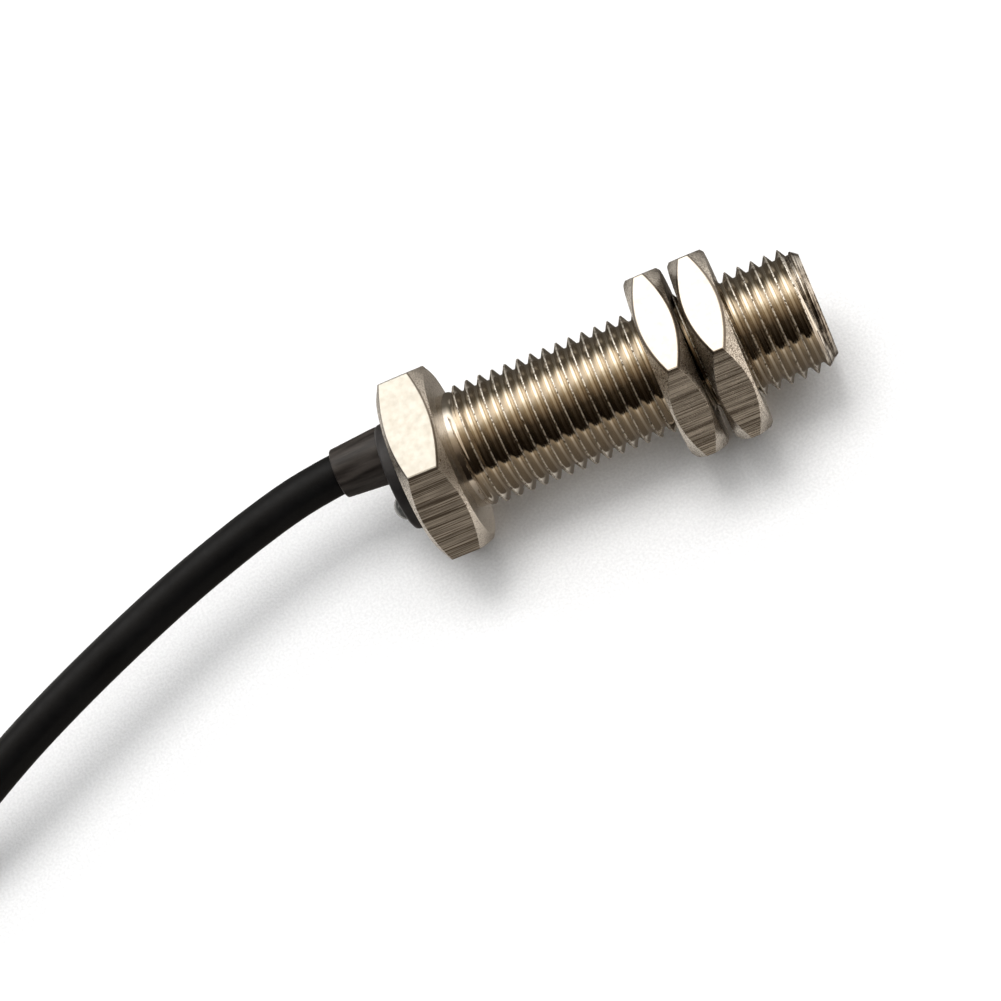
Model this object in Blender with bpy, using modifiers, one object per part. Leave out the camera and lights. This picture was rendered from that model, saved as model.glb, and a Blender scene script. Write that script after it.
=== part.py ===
"""Threaded cylindrical proximity sensor: a plated brass barrel with a hex head at its rear, two
jam nuts, and a round cable that leaves through a moulded cap beside an indicator lamp.

The barrel lies along +X, with the sensing face at +X, and rests on one flat of each hexagon.
The origin is under the middle of the sensor, on the surface it rests on. Lengths are metres.
"""

import math

import bmesh
import bpy
from mathutils import Vector

# ---------------------------------------------------------------- driving dimensions

GAP = 0.0003                 # clearance kept between neighbouring pieces
SEAT = 0.0001                # clearance under small board parts
EASE = 0.00002               # play between the thread crests and a nut's bore

# Hexagons of the head and the nuts
HEX_FLATS = 0.02024          # across flats
HEX_CORNER_R = HEX_FLATS / math.sqrt(3)
AXIS_Z = HEX_FLATS / 2       # height of the barrel axis above the surface

# Thread M14 x 1.5, right-handed
PITCH = 0.0015
CREST_R = 0.00689
THREAD_DEPTH = 0.00092
CREST_FLAT = PITCH / 8
FLANK_SLOPE = math.tan(math.radians(30))
THREAD_STEPS = 16
THREAD_PHASE_X = -0.0001515  # place of one crest on the +Y side

# Stations along the barrel
SENSOR_LENGTH = 0.0548       # from the strain relief's free end to the sensing face
BARREL_LENGTH = 0.04727
FRONT_X = SENSOR_LENGTH / 2
RELIEF_END_X = -SENSOR_LENGTH / 2
HEAD_REAR_X = FRONT_X - BARREL_LENGTH
HEAD_THICK = 0.00572
HEAD_FRONT_X = HEAD_REAR_X + HEAD_THICK
NECK_R = 0.0065
NECK_LENGTH = 0.00105
NECK_END_X = HEAD_FRONT_X + NECK_LENGTH      # where the thread begins
FRONT_CHAMFER_LENGTH = 0.0016
FRONT_CHAMFER_R = 0.00565

# Chamfers of the hexagons: radius of the flat end face, and the cone's angle
HEAD_REAR_FACE_R = 0.00925
HEAD_FRONT_FACE_R = 0.00955
HEAD_CHAMFER = math.radians(29)
NUT_FACE_R = 0.00978
NUT_CHAMFER = math.radians(40)

# Bore of the barrel
BORE_R = 0.0050
POCKET_R = 0.0064            # pocket in the head for the cap
POCKET_DEPTH = 0.00437

# Jam nuts
NUT_THICK = 0.00412
REAR_NUT_X = 0.01118         # middle of each nut
FRONT_NUT_X = 0.01621

# Rear cap, with the cable's exit above the axis and the lamp below it
CAP_R = 0.0061
CAP_REAR_X = HEAD_REAR_X - 0.00183
CAP_FRONT_X = HEAD_REAR_X + 0.00287
CAP_EDGE = 0.0005
EXIT_Y, EXIT_Z = 0.00251, 0.00123      # cable axis, from the barrel axis
LAMP_Y, LAMP_Z = -0.00293, -0.00144    # lamp axis, from the barrel axis
SEAL_GROOVE_X = HEAD_REAR_X + 0.00082
SEAL_GROOVE_WIDTH = 0.0009
SEAL_GROOVE_R = 0.0055
SEAL_RING_R, SEAL_WIRE_R = 0.00595, 0.00028

# Lamp
LAMP_R = 0.0015
LAMP_FLANGE_R = 0.0018
LAMP_FLANGE_X = HEAD_REAR_X + 0.00147
LAMP_FLANGE_LENGTH = 0.0008
LAMP_LEAD_R = 0.00025
LAMP_LEAD_SPACING = 0.00127

# Strain relief
RELIEF_ROOT_R, RELIEF_TIP_R = 0.0032, 0.0028
RELIEF_EDGE = 0.0005
RELIEF_STEM_R = 0.0021
RELIEF_FLANGE_R = 0.0030
RELIEF_FLANGE_LENGTH = 0.0008
RELIEF_BORE_R = 0.0017

# Cable and its three cores
CABLE_R = 0.0023
CORE_R = 0.0005
CORE_RING_R = 0.00075        # the cores' distance from the cable's axis
CORE_COLOURS = {
    "brown": (0.20, 0.07, 0.03),
    "blue": (0.03, 0.10, 0.42),
    "black": (0.015, 0.015, 0.015),
}

# The cable's route from the strain relief to the coil: it leaves level, bends and comes down
CABLE_ROUTE = [
    (-0.02770, 0.00251, 0.01135), (-0.03252, 0.00178, 0.01138), (-0.03753, 0.00045, 0.01142),
    (-0.04286, -0.00129, 0.01145), (-0.04830, -0.00328, 0.01145), (-0.05384, -0.00558, 0.01145),
    (-0.05937, -0.00805, 0.01142), (-0.06476, -0.01062, 0.01135), (-0.07020, -0.01335, 0.01110),
    (-0.07650, -0.01645, 0.01000), (-0.08300, -0.01945, 0.00775), (-0.08950, -0.02230, 0.00495),
    (-0.09500, -0.02465, 0.00300),
]

# Coil of the stored length: three turns wide and four high, the loose end lying on top
COIL_COLUMNS, COIL_LAYERS = 3, 4
COIL_MID_R = 0.0255
COIL_INNER_R = COIL_MID_R - COIL_COLUMNS * CABLE_R
COIL_OUTER_R = COIL_MID_R + COIL_COLUMNS * CABLE_R
COIL_HEIGHT = 2 * COIL_LAYERS * CABLE_R
COIL_ENTRY = Vector((-0.1160, -0.0326, CABLE_R + SEAT))   # where it joins the outer turn
COIL_ENTRY_HEADING = math.radians(200)
COIL_EDGE = 0.0020
LEAD_IN = 0.0177             # straight stub that leads from the route into the coil
TAIL_START, TAIL_SWEEP = math.radians(33), math.radians(-90)
TIE_ANGLE = math.radians(-12)
TIE_WIDTH, TIE_THICK = 0.0045, 0.0005

# Bared end of the cable
TAIL_CORE_LENGTH = 0.0105
TIP_LENGTH = 0.0040
TIP_R = 0.0004
CORE_FAN = math.radians(9)
CORE_TURN_IN = math.radians(12)          # the bared cores follow the coil's bend

# Front end: cap, pot core, bobbin, winding and the holder behind them
FACE_THICK = 0.0010
FACE_R = BORE_R - GAP
FACE_WALL = 0.0005
FACE_CUP_LENGTH = 0.0105
FERRITE_R = FACE_R - FACE_WALL - GAP
FERRITE_LENGTH = 0.0040
FERRITE_GROOVE_R, FERRITE_POST_R = 0.0032, 0.0013
FERRITE_GROOVE_DEPTH = 0.0030
BOBBIN_HUB_R, BOBBIN_FLANGE_R = 0.0019, 0.0029
BOBBIN_FLANGE = 0.0003
HOLDER_THICK = 0.0009
COIL_LEAD_R = 0.00015
COIL_LEAD_Y, COIL_LEAD_Z = 0.0022, 0.0008

# Circuit board and the disc of resin behind it
BOARD_WIDTH, BOARD_THICK = 0.0080, 0.0008
BOARD_REAR_X = -0.0065
RESIN_REAR_X, RESIN_FRONT_X = -0.0087, -0.0070
PAD_X = -0.0045              # where the cores end on the board
PAD_SPACING = 0.0024
CORE_STATIONS = (-0.0210, -0.0150, -0.0115, -0.0092, -0.0070)   # where each core bends
LEAD_STATIONS = (-0.0150, -0.0120, -0.0100, -0.0070)            # where each lamp lead bends
LEAD_DIP = 0.0003            # how far a lamp lead dips below its run under the board
PASSAGE_PLAY = 0.00012       # play of a wire in the resin

# Parts on the board: length, width and height
IC_SIZE = (0.0049, 0.0039, 0.0014)
TRANSISTOR_SIZE = (0.0029, 0.0015, 0.0010)
DIODE_SIZE = (0.0027, 0.0016, 0.0011)
REGULATOR_SIZE = (0.0045, 0.0025, 0.0014)
TANTALUM_SIZE = (0.0032, 0.0016, 0.0016)
CERAMIC_SIZE = (0.0020, 0.00125, 0.0008)
RESISTOR_SIZE = (0.0008, 0.0016, 0.00045)
PART_EDGE = 0.0001           # bevel of a moulded part's edges
LEG_THICK, LEG_WIDTH = 0.0002, 0.0004
SOLDER_R, SOLDER_FLATTEN = 0.0006, 0.6

ROUND = 32                   # sides of a large round piece
SMALL_ROUND = 16             # sides of a small one


# ---------------------------------------------------------------- scene and helpers

def clear_scene():
    for item in list(bpy.data.objects):
        bpy.data.objects.remove(item, do_unlink=True)


def new_collection(name):
    collection = bpy.data.collections.new(name)
    bpy.context.scene.collection.children.link(collection)
    return collection


def new_material(name, colour, roughness, metallic=0.0):
    material = bpy.data.materials.new(name)
    material.use_nodes = True
    shader = material.node_tree.nodes["Principled BSDF"]
    shader.inputs["Base Color"].default_value = (*colour, 1.0)
    shader.inputs["Roughness"].default_value = roughness
    shader.inputs["Metallic"].default_value = metallic
    material.diffuse_color = (*colour, 1.0)
    return material


def place(name, data, collection, material=None, parent=None, y=0.0, z=0.0):
    """Add an object. Under the axis empty, y and z shift it sideways from the barrel's axis."""
    item = bpy.data.objects.new(name, data)
    collection.objects.link(item)
    if parent:
        item.parent = parent
        item.location = (-z, y, 0.0)
    if material:
        item.data.materials.append(material)
    return item


def add_screw(item, steps, offset=0.0, turns=1):
    screw = item.modifiers.new("Turn", "SCREW")
    screw.axis = "Z"
    screw.angle = 2 * math.pi
    screw.steps = steps
    screw.render_steps = steps
    screw.screw_offset = offset
    screw.iterations = turns
    screw.use_merge_vertices = offset == 0.0
    screw.merge_threshold = 0.00001
    return screw


def outline_mesh(name, points, closed):
    """Mesh of a profile: points are (place along the axis, radius)."""
    shape = bmesh.new()
    verts = [shape.verts.new((radius, 0.0, along)) for along, radius in points]
    for start, end in zip(verts, verts[1:]):
        shape.edges.new((start, end))
    if closed:
        shape.edges.new((verts[-1], verts[0]))
    mesh = bpy.data.meshes.new(name)
    shape.to_mesh(mesh)
    shape.free()
    return mesh


def turned(name, points, collection, material=None, steps=ROUND, closed=False, y=0.0, z=0.0):
    """Turned piece about the barrel's direction. The profile runs front to rear outside."""
    mesh = outline_mesh(name, points, closed)
    item = place(name, mesh, collection, material, AXIS, y, z)
    add_screw(item, steps)
    return item


def rod(name, front, rear, radius, collection, material=None, steps=SMALL_ROUND, y=0.0, z=0.0):
    points = [(front, 0.0), (front, radius), (rear, radius), (rear, 0.0)]
    return turned(name, points, collection, material, steps, False, y, z)


def box(name, size, centre, collection, material=None, bevel=0.0):
    """Block of size (x, y, z) with its centre given from the barrel's axis at x = 0."""
    shape = bmesh.new()
    bmesh.ops.create_cube(shape, size=1.0)
    bmesh.ops.scale(shape, vec=size, verts=shape.verts)
    mesh = bpy.data.meshes.new(name)
    shape.to_mesh(mesh)
    shape.free()
    item = place(name, mesh, collection, material)
    item.location = Vector(centre) + Vector((0.0, 0.0, AXIS_Z))
    if bevel:
        edge = item.modifiers.new("Edges", "BEVEL")
        edge.width = bevel
        edge.segments = 1
    return item


def boolean(item, cutter, operation):
    change = item.modifiers.new(operation.title(), "BOOLEAN")
    change.operation = operation
    change.solver = "EXACT"
    change.object = cutter


def guide(item):
    """Keep a cutter out of the model itself."""
    item.hide_render = True
    item.display_type = "WIRE"
    return item


def smooth_points(points, spacing):
    """Points about a spacing apart on a smooth curve through the given ones."""
    knots = [Vector(point) for point in points]
    knots = [2 * knots[0] - knots[1]] + knots + [2 * knots[-1] - knots[-2]]
    result = [knots[1]]
    for before, start, end, after in zip(knots, knots[1:], knots[2:], knots[3:]):
        count = max(1, round((end - start).length / spacing))
        for index in range(1, count + 1):
            t = index / count
            result.append(0.5 * (2 * start + (end - before) * t
                                 + (2 * before - 5 * start + 4 * end - after) * t ** 2
                                 + (3 * start - before - 3 * end + after) * t ** 3))
    return result


def wire(name, points, radius, collection, material=None, resolution=2):
    """Round wire, or a cable, as a curve through world points."""
    curve = bpy.data.curves.new(name, "CURVE")
    curve.dimensions = "3D"
    curve.bevel_depth = radius
    curve.bevel_resolution = resolution
    curve.use_fill_caps = True
    spline = curve.splines.new("POLY")
    spline.points.add(len(points) - 1)
    for target, point in zip(spline.points, points):
        target.co = (*point, 1.0)
    return place(name, curve, collection, material)


def as_mesh(item, pointed_ends=False):
    """Turn a curve or a modified mesh into a plain closed mesh, to be cut or to cut with.

    Open ends are filled, with a face to each edge from a middle point if pointed_ends is set.
    """
    bpy.context.view_layer.update()
    graph = bpy.context.evaluated_depsgraph_get()
    mesh = bpy.data.meshes.new_from_object(item.evaluated_get(graph))
    shape = bmesh.new()
    shape.from_mesh(mesh)
    bmesh.ops.remove_doubles(shape, verts=shape.verts, dist=0.000001)
    rims = [edge for edge in shape.edges if edge.is_boundary]
    lids = bmesh.ops.holes_fill(shape, edges=rims, sides=0)["faces"]
    if pointed_ends:
        bmesh.ops.poke(shape, faces=lids)
    bmesh.ops.recalc_face_normals(shape, faces=shape.faces)
    shape.to_mesh(mesh)
    shape.free()
    solid = bpy.data.objects.new(item.name, mesh)
    item.users_collection[0].objects.link(solid)
    solid.matrix_world = item.matrix_world.copy()
    name = item.name
    bpy.data.objects.remove(item, do_unlink=True)
    solid.name = name
    return solid


def smooth_shading(item):
    if item.type == "MESH" and len(item.data.polygons):
        item.data.shade_smooth()
        item.data.set_sharp_from_angle(angle=math.radians(35))


# ---------------------------------------------------------------- hexagons

def chamfered_hexagon(name, rear, front, rear_face_r, front_face_r, chamfer, collection,
                      material=None):
    """Hexagonal prism from rear to front, its corners turned off by a cone at each end."""
    shape = bmesh.new()
    bmesh.ops.create_cone(shape, cap_ends=True, segments=6, radius1=HEX_CORNER_R,
                          radius2=HEX_CORNER_R, depth=front - rear)
    bmesh.ops.translate(shape, verts=shape.verts, vec=(0.0, 0.0, (front + rear) / 2))
    mesh = bpy.data.meshes.new(name)
    shape.to_mesh(mesh)
    shape.free()
    item = place(name, mesh, collection, material, AXIS)
    beyond = HEX_CORNER_R + 0.0002
    setback_front = (beyond - front_face_r) * math.tan(chamfer)
    setback_rear = (beyond - rear_face_r) * math.tan(chamfer)
    lens = [(front + GAP, 0.0), (front + GAP, front_face_r - GAP / math.tan(chamfer)),
            (front - setback_front, beyond), (rear + setback_rear, beyond),
            (rear - GAP, rear_face_r - GAP / math.tan(chamfer)), (rear - GAP, 0.0)]
    cone = guide(turned(name + "_chamfers", lens, CUTTERS, steps=36))
    boolean(item, cone, "INTERSECT")
    return item


# ---------------------------------------------------------------- the barrel and its nuts

def threaded_rod():
    """Closed rod with the thread on it, a little longer than the barrel's threaded stretch."""
    flank = THREAD_DEPTH * FLANK_SLOPE
    root_r = CREST_R - THREAD_DEPTH
    half_crest = CREST_FLAT / 2
    points = [(PITCH - half_crest, CREST_R), (PITCH - half_crest - flank, root_r),
              (half_crest + flank, root_r), (half_crest, CREST_R), (-half_crest, CREST_R)]
    start_x = NECK_END_X - 1.5 * PITCH
    turns = math.ceil((FRONT_X - start_x) / PITCH) + 1
    item = place("threaded_rod", outline_mesh("threaded_rod", points, False), CUTTERS,
                 parent=AXIS)
    item.location.z = start_x
    add_screw(item, THREAD_STEPS, PITCH, turns)
    item.rotation_euler.z = 2 * math.pi * ((start_x - THREAD_PHASE_X) / PITCH % 1.0 + 0.25)
    return guide(as_mesh(item, pointed_ends=True))


def make_barrel(metal):
    """Threaded barrel, neck and hex head in one piece, bored through and pocketed for the cap."""
    inside_head = HEAD_REAR_X + HEAD_THICK / 2
    barrel = turned("barrel", [(NECK_END_X, 0.0), (NECK_END_X, NECK_R), (inside_head, NECK_R),
                               (inside_head, 0.0)], PARTS, metal)
    head = guide(chamfered_hexagon("head", HEAD_REAR_X, HEAD_FRONT_X, HEAD_REAR_FACE_R,
                                   HEAD_FRONT_FACE_R, HEAD_CHAMFER, CUTTERS))
    clear_r = CREST_R + 0.00005
    run_in = 0.0006
    chamfer_slope = (CREST_R - FRONT_CHAMFER_R) / FRONT_CHAMFER_LENGTH
    ends = [(FRONT_X, 0.0), (FRONT_X, FRONT_CHAMFER_R),
            (FRONT_X - (clear_r - FRONT_CHAMFER_R) / chamfer_slope, clear_r),
            (NECK_END_X + run_in, clear_r),
            (NECK_END_X - run_in, clear_r - 2 * run_in), (NECK_END_X - run_in, 0.0)]
    threads = threaded_rod()
    boolean(threads, guide(turned("thread_ends", ends, CUTTERS)), "INTERSECT")
    pocket_x = HEAD_REAR_X + POCKET_DEPTH
    bore_profile = [(FRONT_X + 0.001, 0.0), (FRONT_X + 0.001, BORE_R), (pocket_x, BORE_R),
                    (pocket_x, POCKET_R), (HEAD_REAR_X - 0.001, POCKET_R),
                    (HEAD_REAR_X - 0.001, 0.0)]
    bore = guide(turned("barrel_bore", bore_profile, CUTTERS, steps=32))
    boolean(barrel, head, "UNION")
    boolean(barrel, threads, "UNION")
    boolean(barrel, bore, "DIFFERENCE")


def make_nut(name, middle, metal):
    """Jam nut whose bore clears the thread's crests, countersunk on both faces."""
    front, rear = middle + NUT_THICK / 2, middle - NUT_THICK / 2
    nut = chamfered_hexagon(name, rear, front, NUT_FACE_R, NUT_FACE_R, NUT_CHAMFER, PARTS, metal)
    bore_r = (CREST_R + EASE) / math.cos(math.pi / ROUND)
    sink = 0.0004
    beyond = 0.001
    profile = [(front + beyond, 0.0), (front + beyond, bore_r + sink + beyond),
               (front - sink, bore_r), (rear + sink, bore_r),
               (rear - beyond, bore_r + sink + beyond), (rear - beyond, 0.0)]
    boolean(nut, guide(turned(name + "_bore", profile, CUTTERS)), "DIFFERENCE")


# ---------------------------------------------------------------- rear cap, lamp, strain relief

def make_cap(plastic):
    """Cap pressed into the head, with a hole for the cable's stem and a stepped one for the lamp."""
    groove_front = SEAL_GROOVE_X + SEAL_GROOVE_WIDTH / 2
    groove_rear = SEAL_GROOVE_X - SEAL_GROOVE_WIDTH / 2
    profile = [(CAP_FRONT_X, 0.0), (CAP_FRONT_X, CAP_R), (groove_front, CAP_R),
               (groove_front, SEAL_GROOVE_R), (groove_rear, SEAL_GROOVE_R), (groove_rear, CAP_R),
               (CAP_REAR_X + CAP_EDGE, CAP_R), (CAP_REAR_X, CAP_R - CAP_EDGE), (CAP_REAR_X, 0.0)]
    cap = turned("rear_cap", profile, PARTS, plastic)
    stem_hole = rod("cap_stem_hole", CAP_FRONT_X + 0.001, CAP_REAR_X - 0.001,
                    RELIEF_STEM_R + GAP, CUTTERS, y=EXIT_Y, z=EXIT_Z)
    step_x = LAMP_FLANGE_X - GAP
    lamp_profile = [(CAP_FRONT_X + 0.001, 0.0), (CAP_FRONT_X + 0.001, LAMP_FLANGE_R + GAP),
                    (step_x, LAMP_FLANGE_R + GAP), (step_x, LAMP_R + GAP),
                    (CAP_REAR_X - 0.001, LAMP_R + GAP), (CAP_REAR_X - 0.001, 0.0)]
    lamp_hole = turned("cap_lamp_hole", lamp_profile, CUTTERS, steps=SMALL_ROUND,
                       y=LAMP_Y, z=LAMP_Z)
    boolean(cap, guide(stem_hole), "DIFFERENCE")
    boolean(cap, guide(lamp_hole), "DIFFERENCE")


def make_seal(rubber):
    """O-ring in the cap's groove."""
    circle = [(SEAL_GROOVE_X - SEAL_WIRE_R * math.sin(2 * math.pi * index / 8),
               SEAL_RING_R + SEAL_WIRE_R * math.cos(2 * math.pi * index / 8))
              for index in range(8)]
    turned("cap_seal", circle, PARTS, rubber, steps=32, closed=True)


def make_lamp(lens, plating):
    """Domed lamp that looks out of the cap, with its two leads running to the board."""
    dome_steps = 5
    flange_front = LAMP_FLANGE_X + LAMP_FLANGE_LENGTH
    profile = [(flange_front, 0.0), (flange_front, LAMP_FLANGE_R),
               (LAMP_FLANGE_X, LAMP_FLANGE_R), (LAMP_FLANGE_X, LAMP_R)]
    for index in range(dome_steps + 1):
        angle = index / dome_steps * math.pi / 2
        profile.append((CAP_REAR_X - LAMP_R * math.sin(angle), LAMP_R * math.cos(angle)))
    profile[-1] = (profile[-1][0], 0.0)
    turned("indicator_lamp", profile, PARTS, lens, steps=20, y=LAMP_Y, z=LAMP_Z)
    under_board = AXIS_Z - BOARD_THICK / 2 - SEAT - LAMP_LEAD_R
    for name, side in (("lamp_lead_anode", -1), ("lamp_lead_cathode", 1)):
        y = LAMP_Y + side * LAMP_LEAD_SPACING / 2
        leave_x, dip_x, level_x, resin_x = LEAD_STATIONS
        route = [(flange_front + SEAT, y, AXIS_Z + LAMP_Z), (leave_x, y, AXIS_Z + LAMP_Z),
                 (dip_x, y, under_board - LEAD_DIP), (level_x, y, under_board),
                 (resin_x, y, under_board), (PAD_X, y, under_board)]
        wire(name, smooth_points(route, 0.0015), LAMP_LEAD_R, PARTS, plating)


def make_relief(rubber):
    """Tapered strain relief outside the cap, its stem through the cap and a flange behind it."""
    root_x = CAP_REAR_X - GAP
    flange_rear = CAP_FRONT_X + GAP
    flange_front = flange_rear + RELIEF_FLANGE_LENGTH
    profile = [(flange_front, RELIEF_BORE_R), (flange_front, RELIEF_FLANGE_R),
               (flange_rear, RELIEF_FLANGE_R), (flange_rear, RELIEF_STEM_R),
               (root_x, RELIEF_STEM_R), (root_x, RELIEF_ROOT_R),
               (RELIEF_END_X + RELIEF_EDGE, RELIEF_TIP_R),
               (RELIEF_END_X + RELIEF_EDGE * 0.3, RELIEF_TIP_R - RELIEF_EDGE * 0.3),
               (RELIEF_END_X, RELIEF_TIP_R - RELIEF_EDGE), (RELIEF_END_X, RELIEF_BORE_R)]
    turned("strain_relief", profile, PARTS, rubber, steps=24, closed=True, y=EXIT_Y, z=EXIT_Z)


# ---------------------------------------------------------------- cores, resin and board

def core_places():
    """Colour, turn about the cable's axis and place across the board of each core."""
    return [(colour, math.radians(180 - 120 * index), (index - 1) * PAD_SPACING)
            for index, colour in enumerate(CORE_COLOURS)]


def make_inner_cores(insulation):
    over_board = AXIS_Z + BOARD_THICK / 2 + SEAT + CORE_R
    for colour, turn, pad_y in core_places():
        y = EXIT_Y + CORE_RING_R * math.cos(turn)
        z = AXIS_Z + EXIT_Z + CORE_RING_R * math.sin(turn)
        cap_x, leave_x, half_way_x, level_x, resin_x = CORE_STATIONS
        half_way = ((y + pad_y) / 2, (z + over_board) / 2)
        route = [(RELIEF_END_X + GAP, y, z), (cap_x, y, z), (leave_x, y, z),
                 (half_way_x, *half_way), (level_x, pad_y, over_board),
                 (resin_x, pad_y, over_board), (PAD_X, pad_y, over_board)]
        wire("core_" + colour, smooth_points(route, 0.0016), CORE_R, PARTS, insulation[colour])


def make_resin(resin):
    """Disc of potting resin across the bore, with a passage for each wire."""
    disc = turned("potting_disc", [(RESIN_FRONT_X, 0.0), (RESIN_FRONT_X, BORE_R - GAP),
                                   (RESIN_REAR_X, BORE_R - GAP), (RESIN_REAR_X, 0.0)],
                  PARTS, resin, steps=32)
    over_board = BOARD_THICK / 2 + SEAT + CORE_R
    under_board = -(BOARD_THICK / 2 + SEAT + LAMP_LEAD_R)
    passages = [(pad_y, over_board, CORE_R) for _, _, pad_y in core_places()]
    passages += [(LAMP_Y + side * LAMP_LEAD_SPACING / 2, under_board, LAMP_LEAD_R)
                 for side in (-1, 1)]
    for index, (y, z, radius) in enumerate(passages):
        passage = rod("wire_passage_%d" % index, RESIN_FRONT_X + 0.001, RESIN_REAR_X - 0.001,
                      radius + PASSAGE_PLAY, CUTTERS, steps=12, y=y, z=z)
        boolean(disc, guide(passage), "DIFFERENCE")


def board_front_x():
    return FRONT_X - FACE_THICK - FERRITE_LENGTH - HOLDER_THICK - 3 * GAP


def make_board(laminate):
    front = board_front_x()
    box("circuit_board", (front - BOARD_REAR_X, BOARD_WIDTH, BOARD_THICK),
        ((front + BOARD_REAR_X) / 2, 0.0, 0.0), PARTS, laminate)


def on_board(name, size, x, y, material, upper=True, bevel=0.0):
    height = BOARD_THICK / 2 + SEAT + size[2] / 2
    return box(name, size, (x, y, height if upper else -height), PARTS, material, bevel)


def add_legs(chip, chip_size, count, spacing, reach, upper=True):
    """Flat legs through a chip's body and out on both sides, joined to it."""
    level = BOARD_THICK / 2 + SEAT + LEG_THICK
    z = level if upper else -level
    for index in range(count):
        leg_x = chip.location.x + (index - (count - 1) / 2) * spacing
        leg = box("%s_leg_%d" % (chip.name, index),
                  (LEG_WIDTH, chip_size[1] + 2 * reach, LEG_THICK),
                  (leg_x, chip.location.y, z), CUTTERS)
        boolean(chip, guide(leg), "UNION")


def add_solder(colour, pad_y, solder):
    """Flattened bead of solder over the end of a core."""
    shape = bmesh.new()
    bmesh.ops.create_uvsphere(shape, u_segments=12, v_segments=8, radius=SOLDER_R)
    bmesh.ops.scale(shape, vec=(1.0, 1.0, SOLDER_FLATTEN), verts=shape.verts)
    mesh = bpy.data.meshes.new("solder_" + colour)
    shape.to_mesh(mesh)
    shape.free()
    bead = place("solder_" + colour, mesh, PARTS, solder)
    height = BOARD_THICK / 2 + SEAT + SOLDER_R * SOLDER_FLATTEN
    bead.location = (PAD_X + 0.0008, pad_y, AXIS_Z + height)


def make_board_parts(black, ceramic, film, tantalum, solder):
    ic = on_board("sensor_ic", IC_SIZE, 0.0090, 0.0, black, bevel=PART_EDGE)
    add_legs(ic, IC_SIZE, 4, 0.00127, 0.0008)
    transistor = on_board("output_transistor", TRANSISTOR_SIZE, 0.0012, 0.0016, black,
                          bevel=PART_EDGE)
    add_legs(transistor, TRANSISTOR_SIZE, 2, 0.0019, 0.0005)
    on_board("protection_diode", DIODE_SIZE, 0.0012, -0.0018, black, bevel=PART_EDGE)
    regulator = on_board("voltage_regulator", REGULATOR_SIZE, 0.0060, 0.0, black, upper=False,
                         bevel=PART_EDGE)
    add_legs(regulator, REGULATOR_SIZE, 3, 0.0015, 0.0006, upper=False)
    on_board("supply_capacitor", TANTALUM_SIZE, 0.0130, 0.0, tantalum, upper=False,
             bevel=PART_EDGE)
    for index, (x, y) in enumerate(((0.0050, 0.0022), (0.0050, -0.0022))):
        on_board("chip_capacitor_%d" % (index + 1), CERAMIC_SIZE, x, y, ceramic, bevel=PART_EDGE)
    for index in range(4):
        on_board("chip_resistor_%d" % (index + 1), RESISTOR_SIZE,
                 0.0136 + 0.0014 * (index // 2), 0.0018 * (1 - 2 * (index % 2)), film)
    for colour, _, pad_y in core_places():
        add_solder(colour, pad_y, solder)


# ---------------------------------------------------------------- front end

def make_front(plastic, ferrite, bobbin_plastic, copper):
    """Front cap, pot core with its bobbin and winding, their holder and the winding's leads."""
    cup_x = FRONT_X - FACE_THICK
    turned("sensing_face", [(FRONT_X, 0.0), (FRONT_X, FACE_R),
                            (FRONT_X - FACE_CUP_LENGTH, FACE_R),
                            (FRONT_X - FACE_CUP_LENGTH, FACE_R - FACE_WALL),
                            (cup_x, FACE_R - FACE_WALL), (cup_x, 0.0)], PARTS, plastic)
    core_front = cup_x - GAP
    core_rear = core_front - FERRITE_LENGTH
    groove_x = core_front - FERRITE_GROOVE_DEPTH
    turned("ferrite_core", [(core_front, 0.0), (core_front, FERRITE_POST_R),
                            (groove_x, FERRITE_POST_R), (groove_x, FERRITE_GROOVE_R),
                            (core_front, FERRITE_GROOVE_R), (core_front, FERRITE_R),
                            (core_rear, FERRITE_R), (core_rear, 0.0)], PARTS, ferrite, steps=32)
    front, rear = core_front - GAP, groove_x + GAP
    hole_r = FERRITE_POST_R + GAP
    turned("coil_bobbin", [(front, hole_r), (front, BOBBIN_FLANGE_R),
                           (front - BOBBIN_FLANGE, BOBBIN_FLANGE_R),
                           (front - BOBBIN_FLANGE, BOBBIN_HUB_R),
                           (rear + BOBBIN_FLANGE, BOBBIN_HUB_R),
                           (rear + BOBBIN_FLANGE, BOBBIN_FLANGE_R), (rear, BOBBIN_FLANGE_R),
                           (rear, hole_r)], PARTS, bobbin_plastic, steps=24, closed=True)
    wound = BOBBIN_FLANGE + SEAT
    turned("coil_winding", [(front - wound, BOBBIN_HUB_R + SEAT),
                            (front - wound, BOBBIN_FLANGE_R - SEAT),
                            (rear + wound, BOBBIN_FLANGE_R - SEAT),
                            (rear + wound, BOBBIN_HUB_R + SEAT)],
           PARTS, copper, steps=24, closed=True)
    holder_front = core_rear - GAP
    holder_rear = holder_front - HOLDER_THICK
    holder = turned("core_holder", [(holder_front, 0.0), (holder_front, FERRITE_R),
                                    (holder_rear, FERRITE_R), (holder_rear, 0.0)],
                    PARTS, bobbin_plastic, steps=32)
    for name, side in (("winding_lead_start", -1), ("winding_lead_finish", 1)):
        y = side * COIL_LEAD_Y
        hole = rod(name + "_hole", holder_front + 0.001, holder_rear - 0.001,
                   COIL_LEAD_R + 0.0002, CUTTERS, steps=12, y=y, z=COIL_LEAD_Z)
        boolean(holder, guide(hole), "DIFFERENCE")
        rod(name, holder_front + SEAT, holder_rear - 0.0015, COIL_LEAD_R, PARTS, copper,
            steps=10, y=y, z=COIL_LEAD_Z)


# ---------------------------------------------------------------- cable, coil and bared end

def heading(angle):
    return Vector((math.cos(angle), math.sin(angle), 0.0))


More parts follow.
